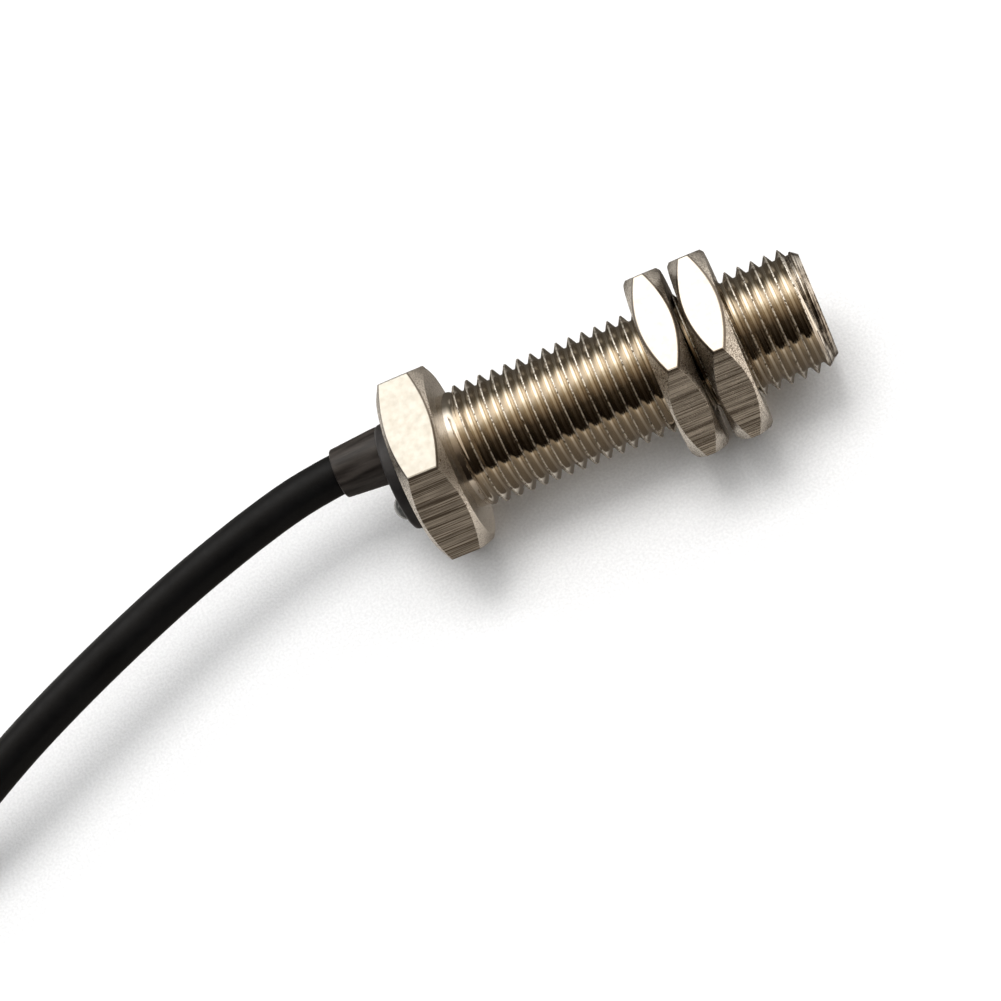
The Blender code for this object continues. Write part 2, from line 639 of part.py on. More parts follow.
def coil_centre():
    """The coil lies to the right of the cable's heading where the cable joins its outer turn."""
    outer_turn_r = COIL_OUTER_R - CABLE_R
    centre = COIL_ENTRY + outer_turn_r * heading(COIL_ENTRY_HEADING - math.pi / 2)
    return Vector((centre.x, centre.y, 0.0))


def lead_in_start():
    return COIL_ENTRY - LEAD_IN * heading(COIL_ENTRY_HEADING)


def make_cable(jacket):
    end = lead_in_start() - GAP * heading(COIL_ENTRY_HEADING)
    levelled = end - CABLE_R * heading(COIL_ENTRY_HEADING)
    route = [Vector(point) for point in CABLE_ROUTE] + [levelled, end]
    wire("cable", smooth_points(route, 0.0025), CABLE_R, PARTS, jacket, resolution=2)


def make_coil(jacket):
    """Outer shape of the coil as a turned ring, with the stub of cable that leads into it."""
    edge = COIL_EDGE
    profile = [(COIL_HEIGHT, COIL_INNER_R + edge), (COIL_HEIGHT, COIL_OUTER_R - edge),
               (COIL_HEIGHT - edge, COIL_OUTER_R), (edge, COIL_OUTER_R),
               (0.0, COIL_OUTER_R - edge), (0.0, COIL_INNER_R + edge),
               (edge, COIL_INNER_R), (COIL_HEIGHT - edge, COIL_INNER_R)]
    ring = place("cable_coil", outline_mesh("cable_coil", profile, True), PARTS, jacket)
    ring.location = coil_centre()
    add_screw(ring, 56)
    stub_line = [lead_in_start(), COIL_ENTRY]
    stub = as_mesh(wire("lead_in", stub_line, CABLE_R, CUTTERS))
    boolean(ring, guide(stub), "UNION")
    notch = box("tie_notch", (COIL_OUTER_R, TIE_WIDTH + 2 * GAP, 2 * (TIE_THICK + GAP)),
                (0.0, 0.0, 0.0), CUTTERS)
    notch.location = coil_centre() + COIL_MID_R * heading(TIE_ANGLE)
    notch.rotation_euler.z = TIE_ANGLE
    boolean(ring, guide(notch), "DIFFERENCE")


def tail_point(angle):
    height = COIL_HEIGHT + CABLE_R + GAP
    return coil_centre() + COIL_MID_R * heading(angle) + Vector((0.0, 0.0, height))


def make_tail(jacket, insulation, tinned):
    """Loose end on top of the coil: jacket along the ring, then three bared cores that fan out."""
    count = 14
    arc = [tail_point(TAIL_START + TAIL_SWEEP * index / count) for index in range(count + 1)]
    wire("cable_tail", arc, CABLE_R, PARTS, jacket)
    end_angle = TAIL_START + TAIL_SWEEP
    along = heading(end_angle - math.pi / 2)
    forward = end_angle - math.pi / 2 - CORE_TURN_IN
    level = COIL_HEIGHT + GAP + CORE_R
    for index, colour in enumerate(CORE_COLOURS):
        side = index - 1
        direction = heading(forward + side * CORE_FAN)
        start = tail_point(end_angle) + GAP * along + side * 0.0012 * heading(end_angle)
        bend = start + 0.0045 * direction
        bend.z = level + 0.0005
        finish = start + TAIL_CORE_LENGTH * direction
        finish.z = level
        middle = start + 0.0024 * direction
        middle.z = level + 0.0014
        route = smooth_points([start, start + 0.0008 * along, middle, bend, finish], 0.0010)
        wire("tail_core_" + colour, route, CORE_R, PARTS, insulation[colour])
        tip_start = finish + GAP * direction
        wire("tail_tip_" + colour, [tip_start, tip_start + TIP_LENGTH * direction], TIP_R, PARTS,
             tinned)


def make_tie(nylon):
    """Flat tie around the ring and the loose end that lies on it."""
    inner, outer = COIL_INNER_R - COIL_MID_R - GAP, COIL_OUTER_R - COIL_MID_R + GAP
    shoulder = COIL_HEIGHT + GAP
    top = COIL_HEIGHT + 2 * CABLE_R + 2 * GAP
    crown = CABLE_R * 0.6
    inside = [(inner, TIE_THICK), (outer, TIE_THICK), (outer, shoulder), (crown, top),
              (-crown, top), (inner, shoulder)]
    half_thick = TIE_THICK / 2
    outside = [(inner - TIE_THICK, 0.0), (outer + TIE_THICK, 0.0),
               (outer + TIE_THICK, shoulder + half_thick), (crown + half_thick, top + TIE_THICK),
               (-crown - half_thick, top + TIE_THICK), (inner - TIE_THICK, shoulder + half_thick)]
    curve = bpy.data.curves.new("coil_tie", "CURVE")
    curve.dimensions = "2D"
    curve.fill_mode = "BOTH"
    curve.extrude = TIE_WIDTH / 2
    for loop in (outside, inside):
        spline = curve.splines.new("POLY")
        spline.points.add(len(loop) - 1)
        spline.use_cyclic_u = True
        for target, (across, height) in zip(spline.points, loop):
            target.co = (across, height, 0.0, 1.0)
    tie = place("coil_tie", curve, PARTS, nylon)
    tie.location = coil_centre() + COIL_MID_R * heading(TIE_ANGLE)
    tie.rotation_euler = (math.pi / 2, 0.0, TIE_ANGLE)


# ---------------------------------------------------------------- assembly

clear_scene()
PARTS = new_collection("proximity_sensor")
CUTTERS = new_collection("cutters")
AXIS = bpy.data.objects.new("barrel_axis", None)
PARTS.objects.link(AXIS)
AXIS.location = (0.0, 0.0, AXIS_Z)
AXIS.rotation_euler = (0.0, math.pi / 2, 0.0)   # its own Z runs along the barrel
bpy.context.view_layer.update()

nickel = new_material("nickel_plate", (0.72, 0.68, 0.62), 0.22, 1.0)
nut_nickel = new_material("nut_nickel_plate", (0.76, 0.72, 0.66), 0.30, 1.0)
cap_plastic = new_material("cap_plastic", (0.035, 0.033, 0.034), 0.45)
relief_rubber = new_material("relief_rubber", (0.075, 0.065, 0.06), 0.55)
cable_jacket = new_material("cable_jacket", (0.012, 0.012, 0.012), 0.55)
lamp_lens = new_material("lamp_lens", (0.30, 0.31, 0.31), 0.25)
seal_rubber = new_material("seal_rubber", (0.02, 0.02, 0.02), 0.7)
face_plastic = new_material("face_plastic", (0.03, 0.03, 0.03), 0.5)
resin = new_material("potting_resin", (0.05, 0.04, 0.03), 0.35)
laminate = new_material("board_laminate", (0.03, 0.16, 0.07), 0.45)
chip_black = new_material("chip_black", (0.02, 0.02, 0.022), 0.5)
ceramic_tan = new_material("ceramic_tan", (0.45, 0.33, 0.20), 0.5)
film_black = new_material("resistor_film", (0.04, 0.04, 0.05), 0.4)
tantalum_yellow = new_material("tantalum_yellow", (0.70, 0.42, 0.05), 0.45)
solder_tin = new_material("solder_tin", (0.65, 0.65, 0.66), 0.3, 1.0)
ferrite_grey = new_material("ferrite_grey", (0.09, 0.09, 0.10), 0.6)
bobbin_white = new_material("bobbin_white", (0.75, 0.73, 0.68), 0.5)
copper = new_material("enamelled_copper", (0.62, 0.25, 0.10), 0.3, 1.0)
tie_nylon = new_material("tie_nylon", (0.02, 0.02, 0.02), 0.5)
insulation = {colour: new_material("insulation_" + colour, rgb, 0.5)
              for colour, rgb in CORE_COLOURS.items()}

make_barrel(nickel)
make_nut("rear_nut", REAR_NUT_X, nut_nickel)
make_nut("front_nut", FRONT_NUT_X, nut_nickel)
make_cap(cap_plastic)
make_seal(seal_rubber)
make_lamp(lamp_lens, solder_tin)
make_relief(relief_rubber)
make_inner_cores(insulation)
make_resin(resin)
make_board(laminate)
make_board_parts(chip_black, ceramic_tan, film_black, tantalum_yellow, solder_tin)
make_front(face_plastic, ferrite_grey, bobbin_white, copper)
make_cable(cable_jacket)
make_coil(cable_jacket)
make_tail(cable_jacket, insulation, solder_tin)
make_tie(tie_nylon)
for piece in PARTS.objects:
    smooth_shading(piece)
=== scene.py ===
"""Looks for the threaded proximity sensor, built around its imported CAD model."""

import math

import bmesh
import bpy
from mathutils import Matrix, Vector


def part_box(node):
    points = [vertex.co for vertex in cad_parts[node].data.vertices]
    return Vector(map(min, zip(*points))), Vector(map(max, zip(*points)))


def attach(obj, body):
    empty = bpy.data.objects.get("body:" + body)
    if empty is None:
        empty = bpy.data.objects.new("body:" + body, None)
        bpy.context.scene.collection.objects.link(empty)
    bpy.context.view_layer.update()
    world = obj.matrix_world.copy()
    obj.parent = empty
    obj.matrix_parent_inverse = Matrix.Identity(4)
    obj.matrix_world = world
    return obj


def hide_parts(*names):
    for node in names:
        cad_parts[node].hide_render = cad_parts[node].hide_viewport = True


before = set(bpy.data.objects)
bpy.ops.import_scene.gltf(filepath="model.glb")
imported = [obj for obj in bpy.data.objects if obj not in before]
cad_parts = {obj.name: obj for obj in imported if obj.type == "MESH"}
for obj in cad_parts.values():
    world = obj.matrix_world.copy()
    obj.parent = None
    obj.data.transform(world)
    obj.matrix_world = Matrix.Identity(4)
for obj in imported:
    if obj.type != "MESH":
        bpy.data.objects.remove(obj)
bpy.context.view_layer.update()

MM = 0.001


def middle(low, high):
    return (low + high) / 2


# ------------------------------------------------------------------ places, from the frame
barrel_low, barrel_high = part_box("barrel")
lamp_low, lamp_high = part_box("indicator_lamp")
relief_low, relief_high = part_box("strain_relief")

AXIS_Z = middle(barrel_low.z, barrel_high.z)
HEX_FLATS = barrel_high.z - barrel_low.z
HEAD_REAR_X, FRONT_X = barrel_low.x, barrel_high.x
CAP_REAR_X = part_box("rear_cap")[0].x
EXIT_Y = middle(relief_low.y, relief_high.y)
EXIT_Z = middle(relief_low.z, relief_high.z)
RELIEF_END_X = relief_low.x
LAMP_Y, LAMP_Z = middle(lamp_low.y, lamp_high.y), middle(lamp_low.z, lamp_high.z)

# ------------------------------------------------------------------ sizes that the box doesn't give
CREST_R, ROOT_R, PITCH = 6.89 * MM, 5.97 * MM, 1.5 * MM
CREST_FLAT, CREST_SOFT = 0.13 * MM, 0.02 * MM
CREST_AT_X = -0.1515 * MM          # one crest, at the angle where y is greatest
HEAD_THICK, NECK_LENGTH, NECK_R = 5.72 * MM, 1.05 * MM, 6.5 * MM
HEAD_FRONT_X = HEAD_REAR_X + HEAD_THICK
NECK_END_X = HEAD_FRONT_X + NECK_LENGTH
RUN_IN, RUN_IN_STEP = 1.2 * MM, 0.12 * MM    # where the first thread comes to its full depth
BORE_R = 5.0 * MM
FRONT_CHAMFER_R, FRONT_CHAMFER = 5.65 * MM, 1.6 * MM
CUT_AND_SHADED_LENGTH = 1.2 * MM              # stretch of the chamfer painted dark: the tool's marks and painted shade
HEAD_REAR_FACE_R, HEAD_FRONT_FACE_R, HEAD_CHAMFER = 9.25 * MM, 9.55 * MM, math.radians(29)
NUT_FACE_R, NUT_CHAMFER = 9.78 * MM, math.radians(40)
NUT_PLAY, NUT_SINK = 0.05 * MM, 0.35 * MM
BROKEN_EDGE = 0.08 * MM
CAP_R, CAP_DEPTH, LAMP_R = 6.1 * MM, 4.4 * MM, 1.5 * MM
CAP_PLAY, CAP_EDGE = 0.06 * MM, 0.5 * MM
POCKET_DEPTH, POCKET_SINK = 3.0 * MM, 0.25 * MM
LAMP_DEPTH = 1.5 * MM
RELIEF_ROOT_R, RELIEF_TIP_R = 3.2 * MM, 2.8 * MM
RELIEF_SEAT, RELIEF_COLLAR, RELIEF_LIP = 0.3 * MM, 0.6 * MM, 0.45 * MM
MOUTH_PLAY, MOUTH_DEPTH = 0.04 * MM, 1.0 * MM
FACE_PLAY, FACE_DEPTH, FACE_RIM, FACE_STEP = 0.06 * MM, 1.0 * MM, 0.5 * MM, 0.08 * MM

# ------------------------------------------------------------------ cable, as in the CAD
CABLE_R = 2.3 * MM
CABLE_ROUTE = [
    (-0.02770, 0.00251, 0.01135), (-0.03252, 0.00178, 0.01138), (-0.03753, 0.00045, 0.01142),
    (-0.04286, -0.00129, 0.01145), (-0.04830, -0.00328, 0.01145), (-0.05384, -0.00558, 0.01145),
    (-0.05937, -0.00805, 0.01142), (-0.06476, -0.01062, 0.01135), (-0.07020, -0.01335, 0.01110),
    (-0.07650, -0.01645, 0.01000), (-0.08300, -0.01945, 0.00775), (-0.08950, -0.02230, 0.00495),
    (-0.09500, -0.02465, 0.00300),
]
COIL_COLUMNS, COIL_LAYERS = 3, 4
COIL_MID_R = 25.5 * MM
COIL_ENTRY = Vector((-0.1160, -0.0326, CABLE_R))
COIL_ENTRY_HEADING = math.radians(200)
COIL_STEP = math.radians(6)
CHANGE_WINDOW = math.radians(80)   # stretch in which one turn crosses to the next place
LEAD_IN, INLET_DEPTH, ROUTE_STEP = 17.7 * MM, 0.9 * MM, 1.6 * MM
TAIL_START, TAIL_END = math.radians(33), math.radians(-57)
TIE_ANGLE, TIE_WIDTH = math.radians(-12), 4.5 * MM
TIE_LIFT = 0.6 * MM                # the turns rise over the tie that passes under them
LIFT_FLAT, LIFT_FADE = 0.15, 0.9   # how far round that rise stays full and then fades, in radians
TIE_THICK, TIE_CHAMFER, TIE_BEND = 0.5 * MM, 0.12 * MM, 1.6 * MM
TIE_SIDE_PLAY, TIE_SHOULDER_PLAY, TIE_TOP_PLAY, TIE_CROWN = 0.55 * MM, 0.4 * MM, 1.0 * MM, 1.5 * MM
RATCHET_SIZE, RATCHET_OUT, RATCHET_EDGE = (2.6 * MM, 6.2 * MM, 4.6 * MM), 1.35 * MM, 0.45 * MM
TRIMMED_END_SIZE, TRIMMED_END_UP = (0.5 * MM, 4.3 * MM, 2.2 * MM), 3.3 * MM


# ------------------------------------------------------------------ camera and light
def make_camera():
    data = bpy.data.cameras.new("camera")
    data.sensor_width = 36.0
    data.lens = 88.7
    data.clip_start, data.clip_end = 0.01, 10.0
    camera = bpy.data.objects.new("camera", data)
    camera.location = (0.02566, -0.12228, 0.24437)
    camera.rotation_euler = (math.radians(22.030), math.radians(16.527), math.radians(-17.147))
    bpy.context.collection.objects.link(camera)
    bpy.context.scene.camera = camera


def area_light(name, azimuth, elevation, distance, size, power, colour):
    """Rectangular soft light that looks at the sensor from a compass direction and a height."""
    data = bpy.data.lights.new(name, "AREA")
    data.shape = "RECTANGLE"
    data.size, data.size_y = size
    data.energy = power
    data.color = colour
    lamp = bpy.data.objects.new(name, data)
    a, e = math.radians(azimuth), math.radians(elevation)
    toward = Vector((math.cos(a) * math.cos(e), math.sin(a) * math.cos(e), math.sin(e)))
    lamp.location = Vector((0.0, 0.0, AXIS_Z)) + distance * toward
    lamp.rotation_euler = toward.to_track_quat("Z", "Y").to_euler()
    bpy.context.collection.objects.link(lamp)
    return lamp


def make_lights():
    """A key light and a broad fill high behind the sensor. In reflections the world stands for
    both of them."""
    key = area_light("key", 92, 75, 0.9, (0.42, 0.40), 3.6, (1.0, 0.99, 0.98))
    fill = area_light("fill", 92, 78, 0.9, (2.2, 2.0), 22.5, (1.0, 1.0, 1.0))
    key.visible_glossy = fill.visible_glossy = False
    bpy.context.scene.view_settings.view_transform = "Standard"


# ------------------------------------------------------------------ node helpers
class NodeTree:
    """Adds nodes to a tree and joins them."""

    def __init__(self, tree):
        self.tree = tree

    def join(self, source, target):
        self.tree.links.new(source, target)

    def node(self, kind, **values):
        node = self.tree.nodes.new("ShaderNode" + kind)
        for key, value in values.items():
            setattr(node, key, value)
        return node

    def split(self, coordinates):
        """X, Y and Z of one kind of texture coordinates."""
        source, parts = self.node("TexCoord"), self.node("SeparateXYZ")
        self.join(source.outputs[coordinates], parts.inputs["Vector"])
        return parts

    def spread(self, value, low, high, out_low=0.0, out_high=1.0):
        """Takes low..high of value to out_low..out_high and holds it there."""
        node = self.node("MapRange")
        for key, number in (("From Min", low), ("From Max", high),
                            ("To Min", out_low), ("To Max", out_high)):
            node.inputs[key].default_value = number
        self.join(value, node.inputs["Value"])
        return node.outputs["Result"]

    def combine(self, operation, first, second):
        node = self.node("Math", operation=operation)
        for socket, value in zip(node.inputs, (first, second)):
            if isinstance(value, (int, float)):
                socket.default_value = value
            else:
                self.join(value, socket)
        return node.outputs["Value"]

    def ramp(self, value, stops):
        """Colour along a ramp; stops are (place, colour)."""
        node = self.node("ValToRGB")
        elements = node.color_ramp.elements
        for place, _ in stops[1:-1]:
            elements.new(place)
        for element, (place, colour) in zip(elements, stops):
            element.position = place
            element.color = (*colour, 1.0)
        self.join(value, node.inputs["Fac"])
        return node.outputs["Color"]

    def mix(self, operation, share, first, second):
        """Mixes colours; share, first and second are each a value or a socket."""
        node = self.node("Mix", data_type="RGBA", blend_type=operation)
        for socket, value in ((node.inputs["Factor"], share), (node.inputs["A"], first),
                              (node.inputs["B"], second)):
            if isinstance(value, float):
                socket.default_value = value
            elif isinstance(value, tuple):
                socket.default_value = (*value, 1.0)
            else:
                self.join(value, socket)
        return node.outputs["Result"]


class Shader(NodeTree):
    """A material under construction."""

    def __init__(self, name):
        self.material = bpy.data.materials.new(name)
        self.material.use_nodes = True
        super().__init__(self.material.node_tree)
        self.surface = self.tree.nodes["Principled BSDF"]

    def constant(self, **values):
        """Sets sockets of the surface: metallic=1.0 sets Metallic."""
        for key, value in values.items():
            self.surface.inputs[key.replace("_", " ").title().replace("Ior", "IOR")
                                ].default_value = value

    def place(self, stretch=(1.0, 1.0, 1.0)):
        """Object coordinates, stretched; a small factor makes a pattern long along that axis."""
        coordinates = self.node("TexCoord")
        mapping = self.node("Mapping")
        mapping.inputs["Scale"].default_value = stretch
        self.join(coordinates.outputs["Object"], mapping.inputs["Vector"])
        return mapping.outputs["Vector"]

    def noise(self, scale, stretch=(1.0, 1.0, 1.0), detail=3.0, roughness=0.5):
        """Noise whose coarsest features are 1/scale metres apart."""
        texture = self.node("TexNoise")
        texture.inputs["Scale"].default_value = scale
        texture.inputs["Detail"].default_value = detail
        texture.inputs["Roughness"].default_value = roughness
        self.join(self.place(stretch), texture.inputs["Vector"])
        return texture.outputs["Fac"]

    def blend(self, share, first, second):
        """Colour between first and second, each a colour or a socket."""
        return self.mix("MIX", share, first, second)

    def colour(self, share, first, second):
        self.join(self.blend(share, first, second), self.surface.inputs["Base Color"])

    def roughness(self, value, low, high):
        self.join(self.spread(value, 0.3, 0.7, low, high), self.surface.inputs["Roughness"])

    def bump(self, height, depth):
        """Relief of that depth in metres; a second call adds to the first."""
        node = self.node("Bump")
        node.inputs["Strength"].default_value = 1.0
        node.inputs["Distance"].default_value = depth
        self.join(height, node.inputs["Height"])
        socket = self.surface.inputs["Normal"]
        if socket.is_linked:
            self.join(socket.links[0].from_socket, node.inputs["Normal"])
        self.join(node.outputs["Normal"], socket)

    def axis_radius(self):
        """Distance from the barrel's axis."""
        parts = self.split("Object")
        height = self.combine("SUBTRACT", parts.outputs["Z"], AXIS_Z)
        square = self.combine("ADD", self.combine("MULTIPLY", parts.outputs["Y"], parts.outputs["Y"]),
                              self.combine("MULTIPLY", height, height))
        return self.combine("SQRT", square, 0.0)


# ------------------------------------------------------------------ reflected surroundings
# Round the barrel, in degrees: -180 is the horizon in front seen from below, -90 straight down,
# 0 the horizon behind, 90 overhead and 180 the horizon in front; with the light from there
SURROUNDINGS = (
    (-180, (0.70, 0.62, 0.53)), (-166, (0.40, 0.355, 0.305)), (-145, (0.26, 0.23, 0.20)),
    (-100, (0.15, 0.13, 0.112)), (-50, (0.09, 0.077, 0.063)), (-20, (0.12, 0.107, 0.092)),
    (0, (0.15, 0.135, 0.118)), (15, (0.19, 0.175, 0.15)), (27, (0.65, 0.62, 0.57)),
    (38, (1.9, 1.83, 1.75)), (52, (2.7, 2.6, 2.5)), (67, (2.4, 2.32, 2.22)), (77, (1.3, 1.2, 1.04)),
    (90, (0.62, 0.52, 0.39)), (108, (0.26, 0.205, 0.15)), (124, (0.065, 0.05, 0.036)),
    (148, (0.022, 0.016, 0.011)), (177, (0.010, 0.007, 0.005)), (179.5, (0.55, 0.49, 0.42)),
    (180, (0.70, 0.62, 0.53)),
)
SIDE_SHARE = 0.62                  # of that light, what comes from far to the left or right
SIDE_FROM, SIDE_TO = 0.40, 0.80    # where it fades, in the sideways part of the direction
DIM_WALL = (0.62, 0.54, 0.46)      # reflected from the right
WALL_FROM, WALL_TO = 0.55, 0.85    # where it begins, in the direction's X
LIT_FLOOR = (1.0, 0.97, 0.92)      # reflected from below, away from the shadow
# The glow grows between these values of the direction's Z, Y and distance to either side
LIT_ALONG_Z, LIT_ALONG_Y, LIT_SIDEWAYS = (0.02, -0.07), (-0.42, -0.12), (0.30, 0.60)


def make_world():
    """What the metal reflects: a bright screen behind, a dim wall to the right, the dark room
    in front, and the floor's glow below."""
    world = bpy.data.worlds.new("studio")
    world.use_nodes = True
    world.cycles_visibility.diffuse = False
    bpy.context.scene.world = world
    sky = NodeTree(world.node_tree)
    direction = sky.split("Generated").outputs
    sideways = sky.combine("ABSOLUTE", direction["X"], 0.0)
    turn = sky.combine("ARCTAN2", direction["Z"], direction["Y"])
    room = sky.ramp(sky.spread(turn, -math.pi, math.pi),
                    [(degrees / 360 + 0.5, colour) for degrees, colour in SURROUNDINGS])
    fading = sky.spread(sideways, SIDE_FROM, SIDE_TO, 1.0, SIDE_SHARE)
    wall = sky.ramp(direction["X"], [(WALL_FROM, (0.0, 0.0, 0.0)), (WALL_TO, DIM_WALL)])
    walls = sky.mix("ADD", 1.0, sky.mix("MULTIPLY", 1.0, room, fading), wall)
    lit = sky.combine("MULTIPLY", sky.spread(direction["Z"], *LIT_ALONG_Z),
                      sky.spread(direction["Y"], *LIT_ALONG_Y))
    lit = sky.combine("MULTIPLY", lit, sky.spread(sideways, *LIT_SIDEWAYS))
    everything = sky.mix("ADD", lit, walls, LIT_FLOOR)
    sky.join(everything, sky.tree.nodes["Background"].inputs["Color"])


# ------------------------------------------------------------------ materials
NICKEL = (0.66, 0.61, 0.54)
NICKEL_DARK = (0.59, 0.54, 0.47)
NICKEL_BRIGHT = (0.90, 0.86, 0.78)
NICKEL_CHAMFER = (0.84, 0.80, 0.72)
# Used only on the head's top flat: a painted tone for how the light falls on it
NICKEL_PAINTED_TOP = (0.53, 0.515, 0.465)
NICKEL_PAINTED_TOP_DARK = (0.49, 0.465, 0.41)
# Dark of the score lines, partly the marks and partly painted shade in them, and of the painted shade
# line under the top flat
NICKEL_SCORES_AND_SHADE = (0.15, 0.125, 0.10)
BRASS_TINT = (0.61, 0.545, 0.445)
WORN_THROUGH = (0.13, 0.10, 0.07)


def thread_metal():
    """Bright nickel plate, warmer down in the thread, with a painted highlight and dark nicks along
    its crests.
    """
    shader = Shader("thread_nickel")
    shader.constant(metallic=1.0)
    radius = shader.axis_radius()
    depth = shader.spread(radius, ROOT_R, CREST_R - 0.1 * MM)
    crest = shader.spread(radius, CREST_R - 0.07 * MM, CREST_R - 0.02 * MM)
    nicks = shader.noise(3600.0, detail=3.0, roughness=0.6)
    plate = shader.blend(shader.spread(shader.noise(900.0), 0.35, 0.65), NICKEL, NICKEL_DARK)
    flank = shader.blend(depth, BRASS_TINT, plate)
    # Painted highlight: the crests take the brighter NICKEL_BRIGHT, broken by dark nicks
    edge = shader.blend(shader.spread(nicks, 0.42, 0.47), WORN_THROUGH, NICKEL_BRIGHT)
    shader.colour(crest, flank, edge)
    smooth = shader.spread(shader.noise(2500.0, detail=4.0), 0.3, 0.7, 0.05, 0.12)
    worn = shader.combine("MULTIPLY", crest, 0.34)
    shader.join(shader.combine("ADD", smooth, worn), shader.surface.inputs["Roughness"])
    lines = shader.noise(9000.0, (1.0, 0.02, 0.02), detail=2.0)
    shader.bump(lines, 0.002 * MM)
    shader.bump(shader.noise(2600.0, detail=5.0), 0.004 * MM)
    shader.bump(shader.combine("MULTIPLY", crest, nicks), 0.05 * MM)
    return shader.material


def turned_metal(name, light, dark, roughness, ring_depth):
    """Nickel plate over fine rings left by turning."""
    shader = Shader(name)
    shader.constant(metallic=1.0)
    shader.colour(shader.spread(shader.noise(900.0, detail=3.0), 0.3, 0.7), light, dark)
    shader.roughness(shader.noise(900.0, detail=3.0), *roughness)
    rings = shader.node("TexNoise", noise_dimensions="1D")
    rings.inputs["Scale"].default_value = 7000.0
    shader.join(shader.axis_radius(), rings.inputs["W"])
    shader.bump(rings.outputs["Fac"], ring_depth * MM)
    return shader.material


def drawn_metal(name, light, dark, roughness, line_scale, depth):
    """Nickel plate over the fine straight lines of drawn hexagon stock, whose dark colour is partly
    the marks and partly painted shade. The flat on top gets a painted tone without the lines, for how
    the light falls on it, and a painted shade line runs just under its edges."""
    shader = Shader(name)
    shader.constant(metallic=1.0)
    parts = shader.split("Object")
    # Painted light: the flat on top loses the lines and takes its own painted tone
    painted_top_flat = shader.spread(parts.outputs["Z"], HEX_FLATS - 0.12 * MM, HEX_FLATS - 0.03 * MM)
    off_painted_top_flat = shader.combine("SUBTRACT", 1.0, painted_top_flat)
    fine = shader.noise(line_scale, (0.006, 1.0, 1.0), detail=3.0, roughness=0.6)
    scores = shader.noise(line_scale / 3, (0.006, 1.0, 1.0), detail=2.0)
    lines = shader.spread(fine, 0.51, 0.46)
    deep = shader.spread(scores, 0.61, 0.65)
    # Painted shade: a dark line just under the top flat's edges, placed by height
    painted_rim_shade = shader.spread(parts.outputs["Z"], HEX_FLATS - 0.42 * MM, HEX_FLATS - 0.30 * MM)
    scores_and_rim_shade = shader.combine("MAXIMUM", painted_rim_shade, shader.combine("MAXIMUM", lines, deep))
    darkened = shader.combine("MULTIPLY", scores_and_rim_shade, off_painted_top_flat)
    mottled = shader.spread(shader.noise(900.0, detail=6.0, roughness=0.7), 0.35, 0.65)
    # The flat on top takes light and dark, its painted tone; the other flats take plain NICKEL
    plate = shader.blend(painted_top_flat, NICKEL, shader.blend(mottled, dark, light))
    shader.colour(darkened, plate, NICKEL_SCORES_AND_SHADE)
    shader.roughness(shader.noise(1500.0, detail=4.0), *roughness)
    faint = shader.combine("ADD", shader.combine("MULTIPLY", off_painted_top_flat, 0.85), 0.15)
    shader.bump(shader.combine("MULTIPLY", fine, faint), depth * MM)
    return shader.material


def cut_and_shaded_metal():
    """Nickel over dark rings on the end's chamfer: partly the torn rings a threading tool leaves,
    partly painted shade for its dark reflection.
    """
    shader = Shader("cut_and_shaded_nickel")
    shader.constant(metallic=1.0)
    rings = shader.noise(9000.0, (1.0, 0.02, 0.02), detail=3.0)
    torn = shader.noise(1500.0, detail=4.0, roughness=0.6)
    both = shader.combine("ADD", rings, shader.combine("MULTIPLY", torn, 0.35))
    # Painted shade: the dark colour stands for the chamfer's dark reflection as well as the torn
    # rings
    shader.colour(shader.spread(both, 0.59, 0.75), (0.06, 0.045, 0.033), NICKEL)
    shader.roughness(torn, 0.18, 0.34)
    shader.bump(both, 0.012 * MM)
    return shader.material


def plain_metal(name, colour, dark, roughness, depth=0.01):
    """Cast, tinned or enamelled metal with an uneven skin."""
    shader = Shader(name)
    shader.constant(metallic=1.0)
    shader.colour(shader.spread(shader.noise(2400.0, detail=4.0), 0.35, 0.65), colour, dark)
    shader.roughness(shader.noise(1800.0, detail=3.0), *roughness)
    shader.bump(shader.noise(3000.0, (0.3, 1.0, 1.0), detail=3.0), depth * MM)
    return shader.material


def moulded_plastic(name, colour, light, roughness, grain=2500.0, depth=0.01):
    """Moulded plastic with a fine grain and slow changes of tone."""
    shader = Shader(name)
    shader.constant(specular_ior_level=0.3)
    shader.colour(shader.spread(shader.noise(350.0, detail=4.0), 0.3, 0.7), colour, light)
    shader.roughness(shader.noise(1200.0, detail=4.0), *roughness)
    shader.bump(shader.noise(grain, detail=4.0), depth * MM)
    return shader.material


def relief_rubber():
    """Dark moulded sleeve with faint streaks along it."""
    shader = Shader("relief_sleeve")
    shader.constant(specular_ior_level=0.30)
    streaks = shader.noise(1400.0, (0.10, 1.0, 1.0), detail=5.0)
    shader.colour(shader.spread(streaks, 0.38, 0.62), (0.010, 0.008, 0.007), (0.036, 0.030, 0.026))
    shader.roughness(streaks, 0.30, 0.46)
    shader.bump(streaks, 0.04 * MM)
    return shader.material


def cable_jacket():
    """Matte black jacket, slightly uneven as extruded plastic is."""
    shader = Shader("cable_jacket")
    shader.constant(specular_ior_level=0.14)
    shader.colour(shader.spread(shader.noise(160.0, detail=5.0), 0.3, 0.7),
                  (0.0022, 0.0022, 0.0024), (0.0042, 0.0042, 0.0044))
    shader.roughness(shader.noise(900.0, detail=4.0), 0.36, 0.50)
    shader.bump(shader.noise(3200.0, detail=3.0), 0.012 * MM)
    return shader.material


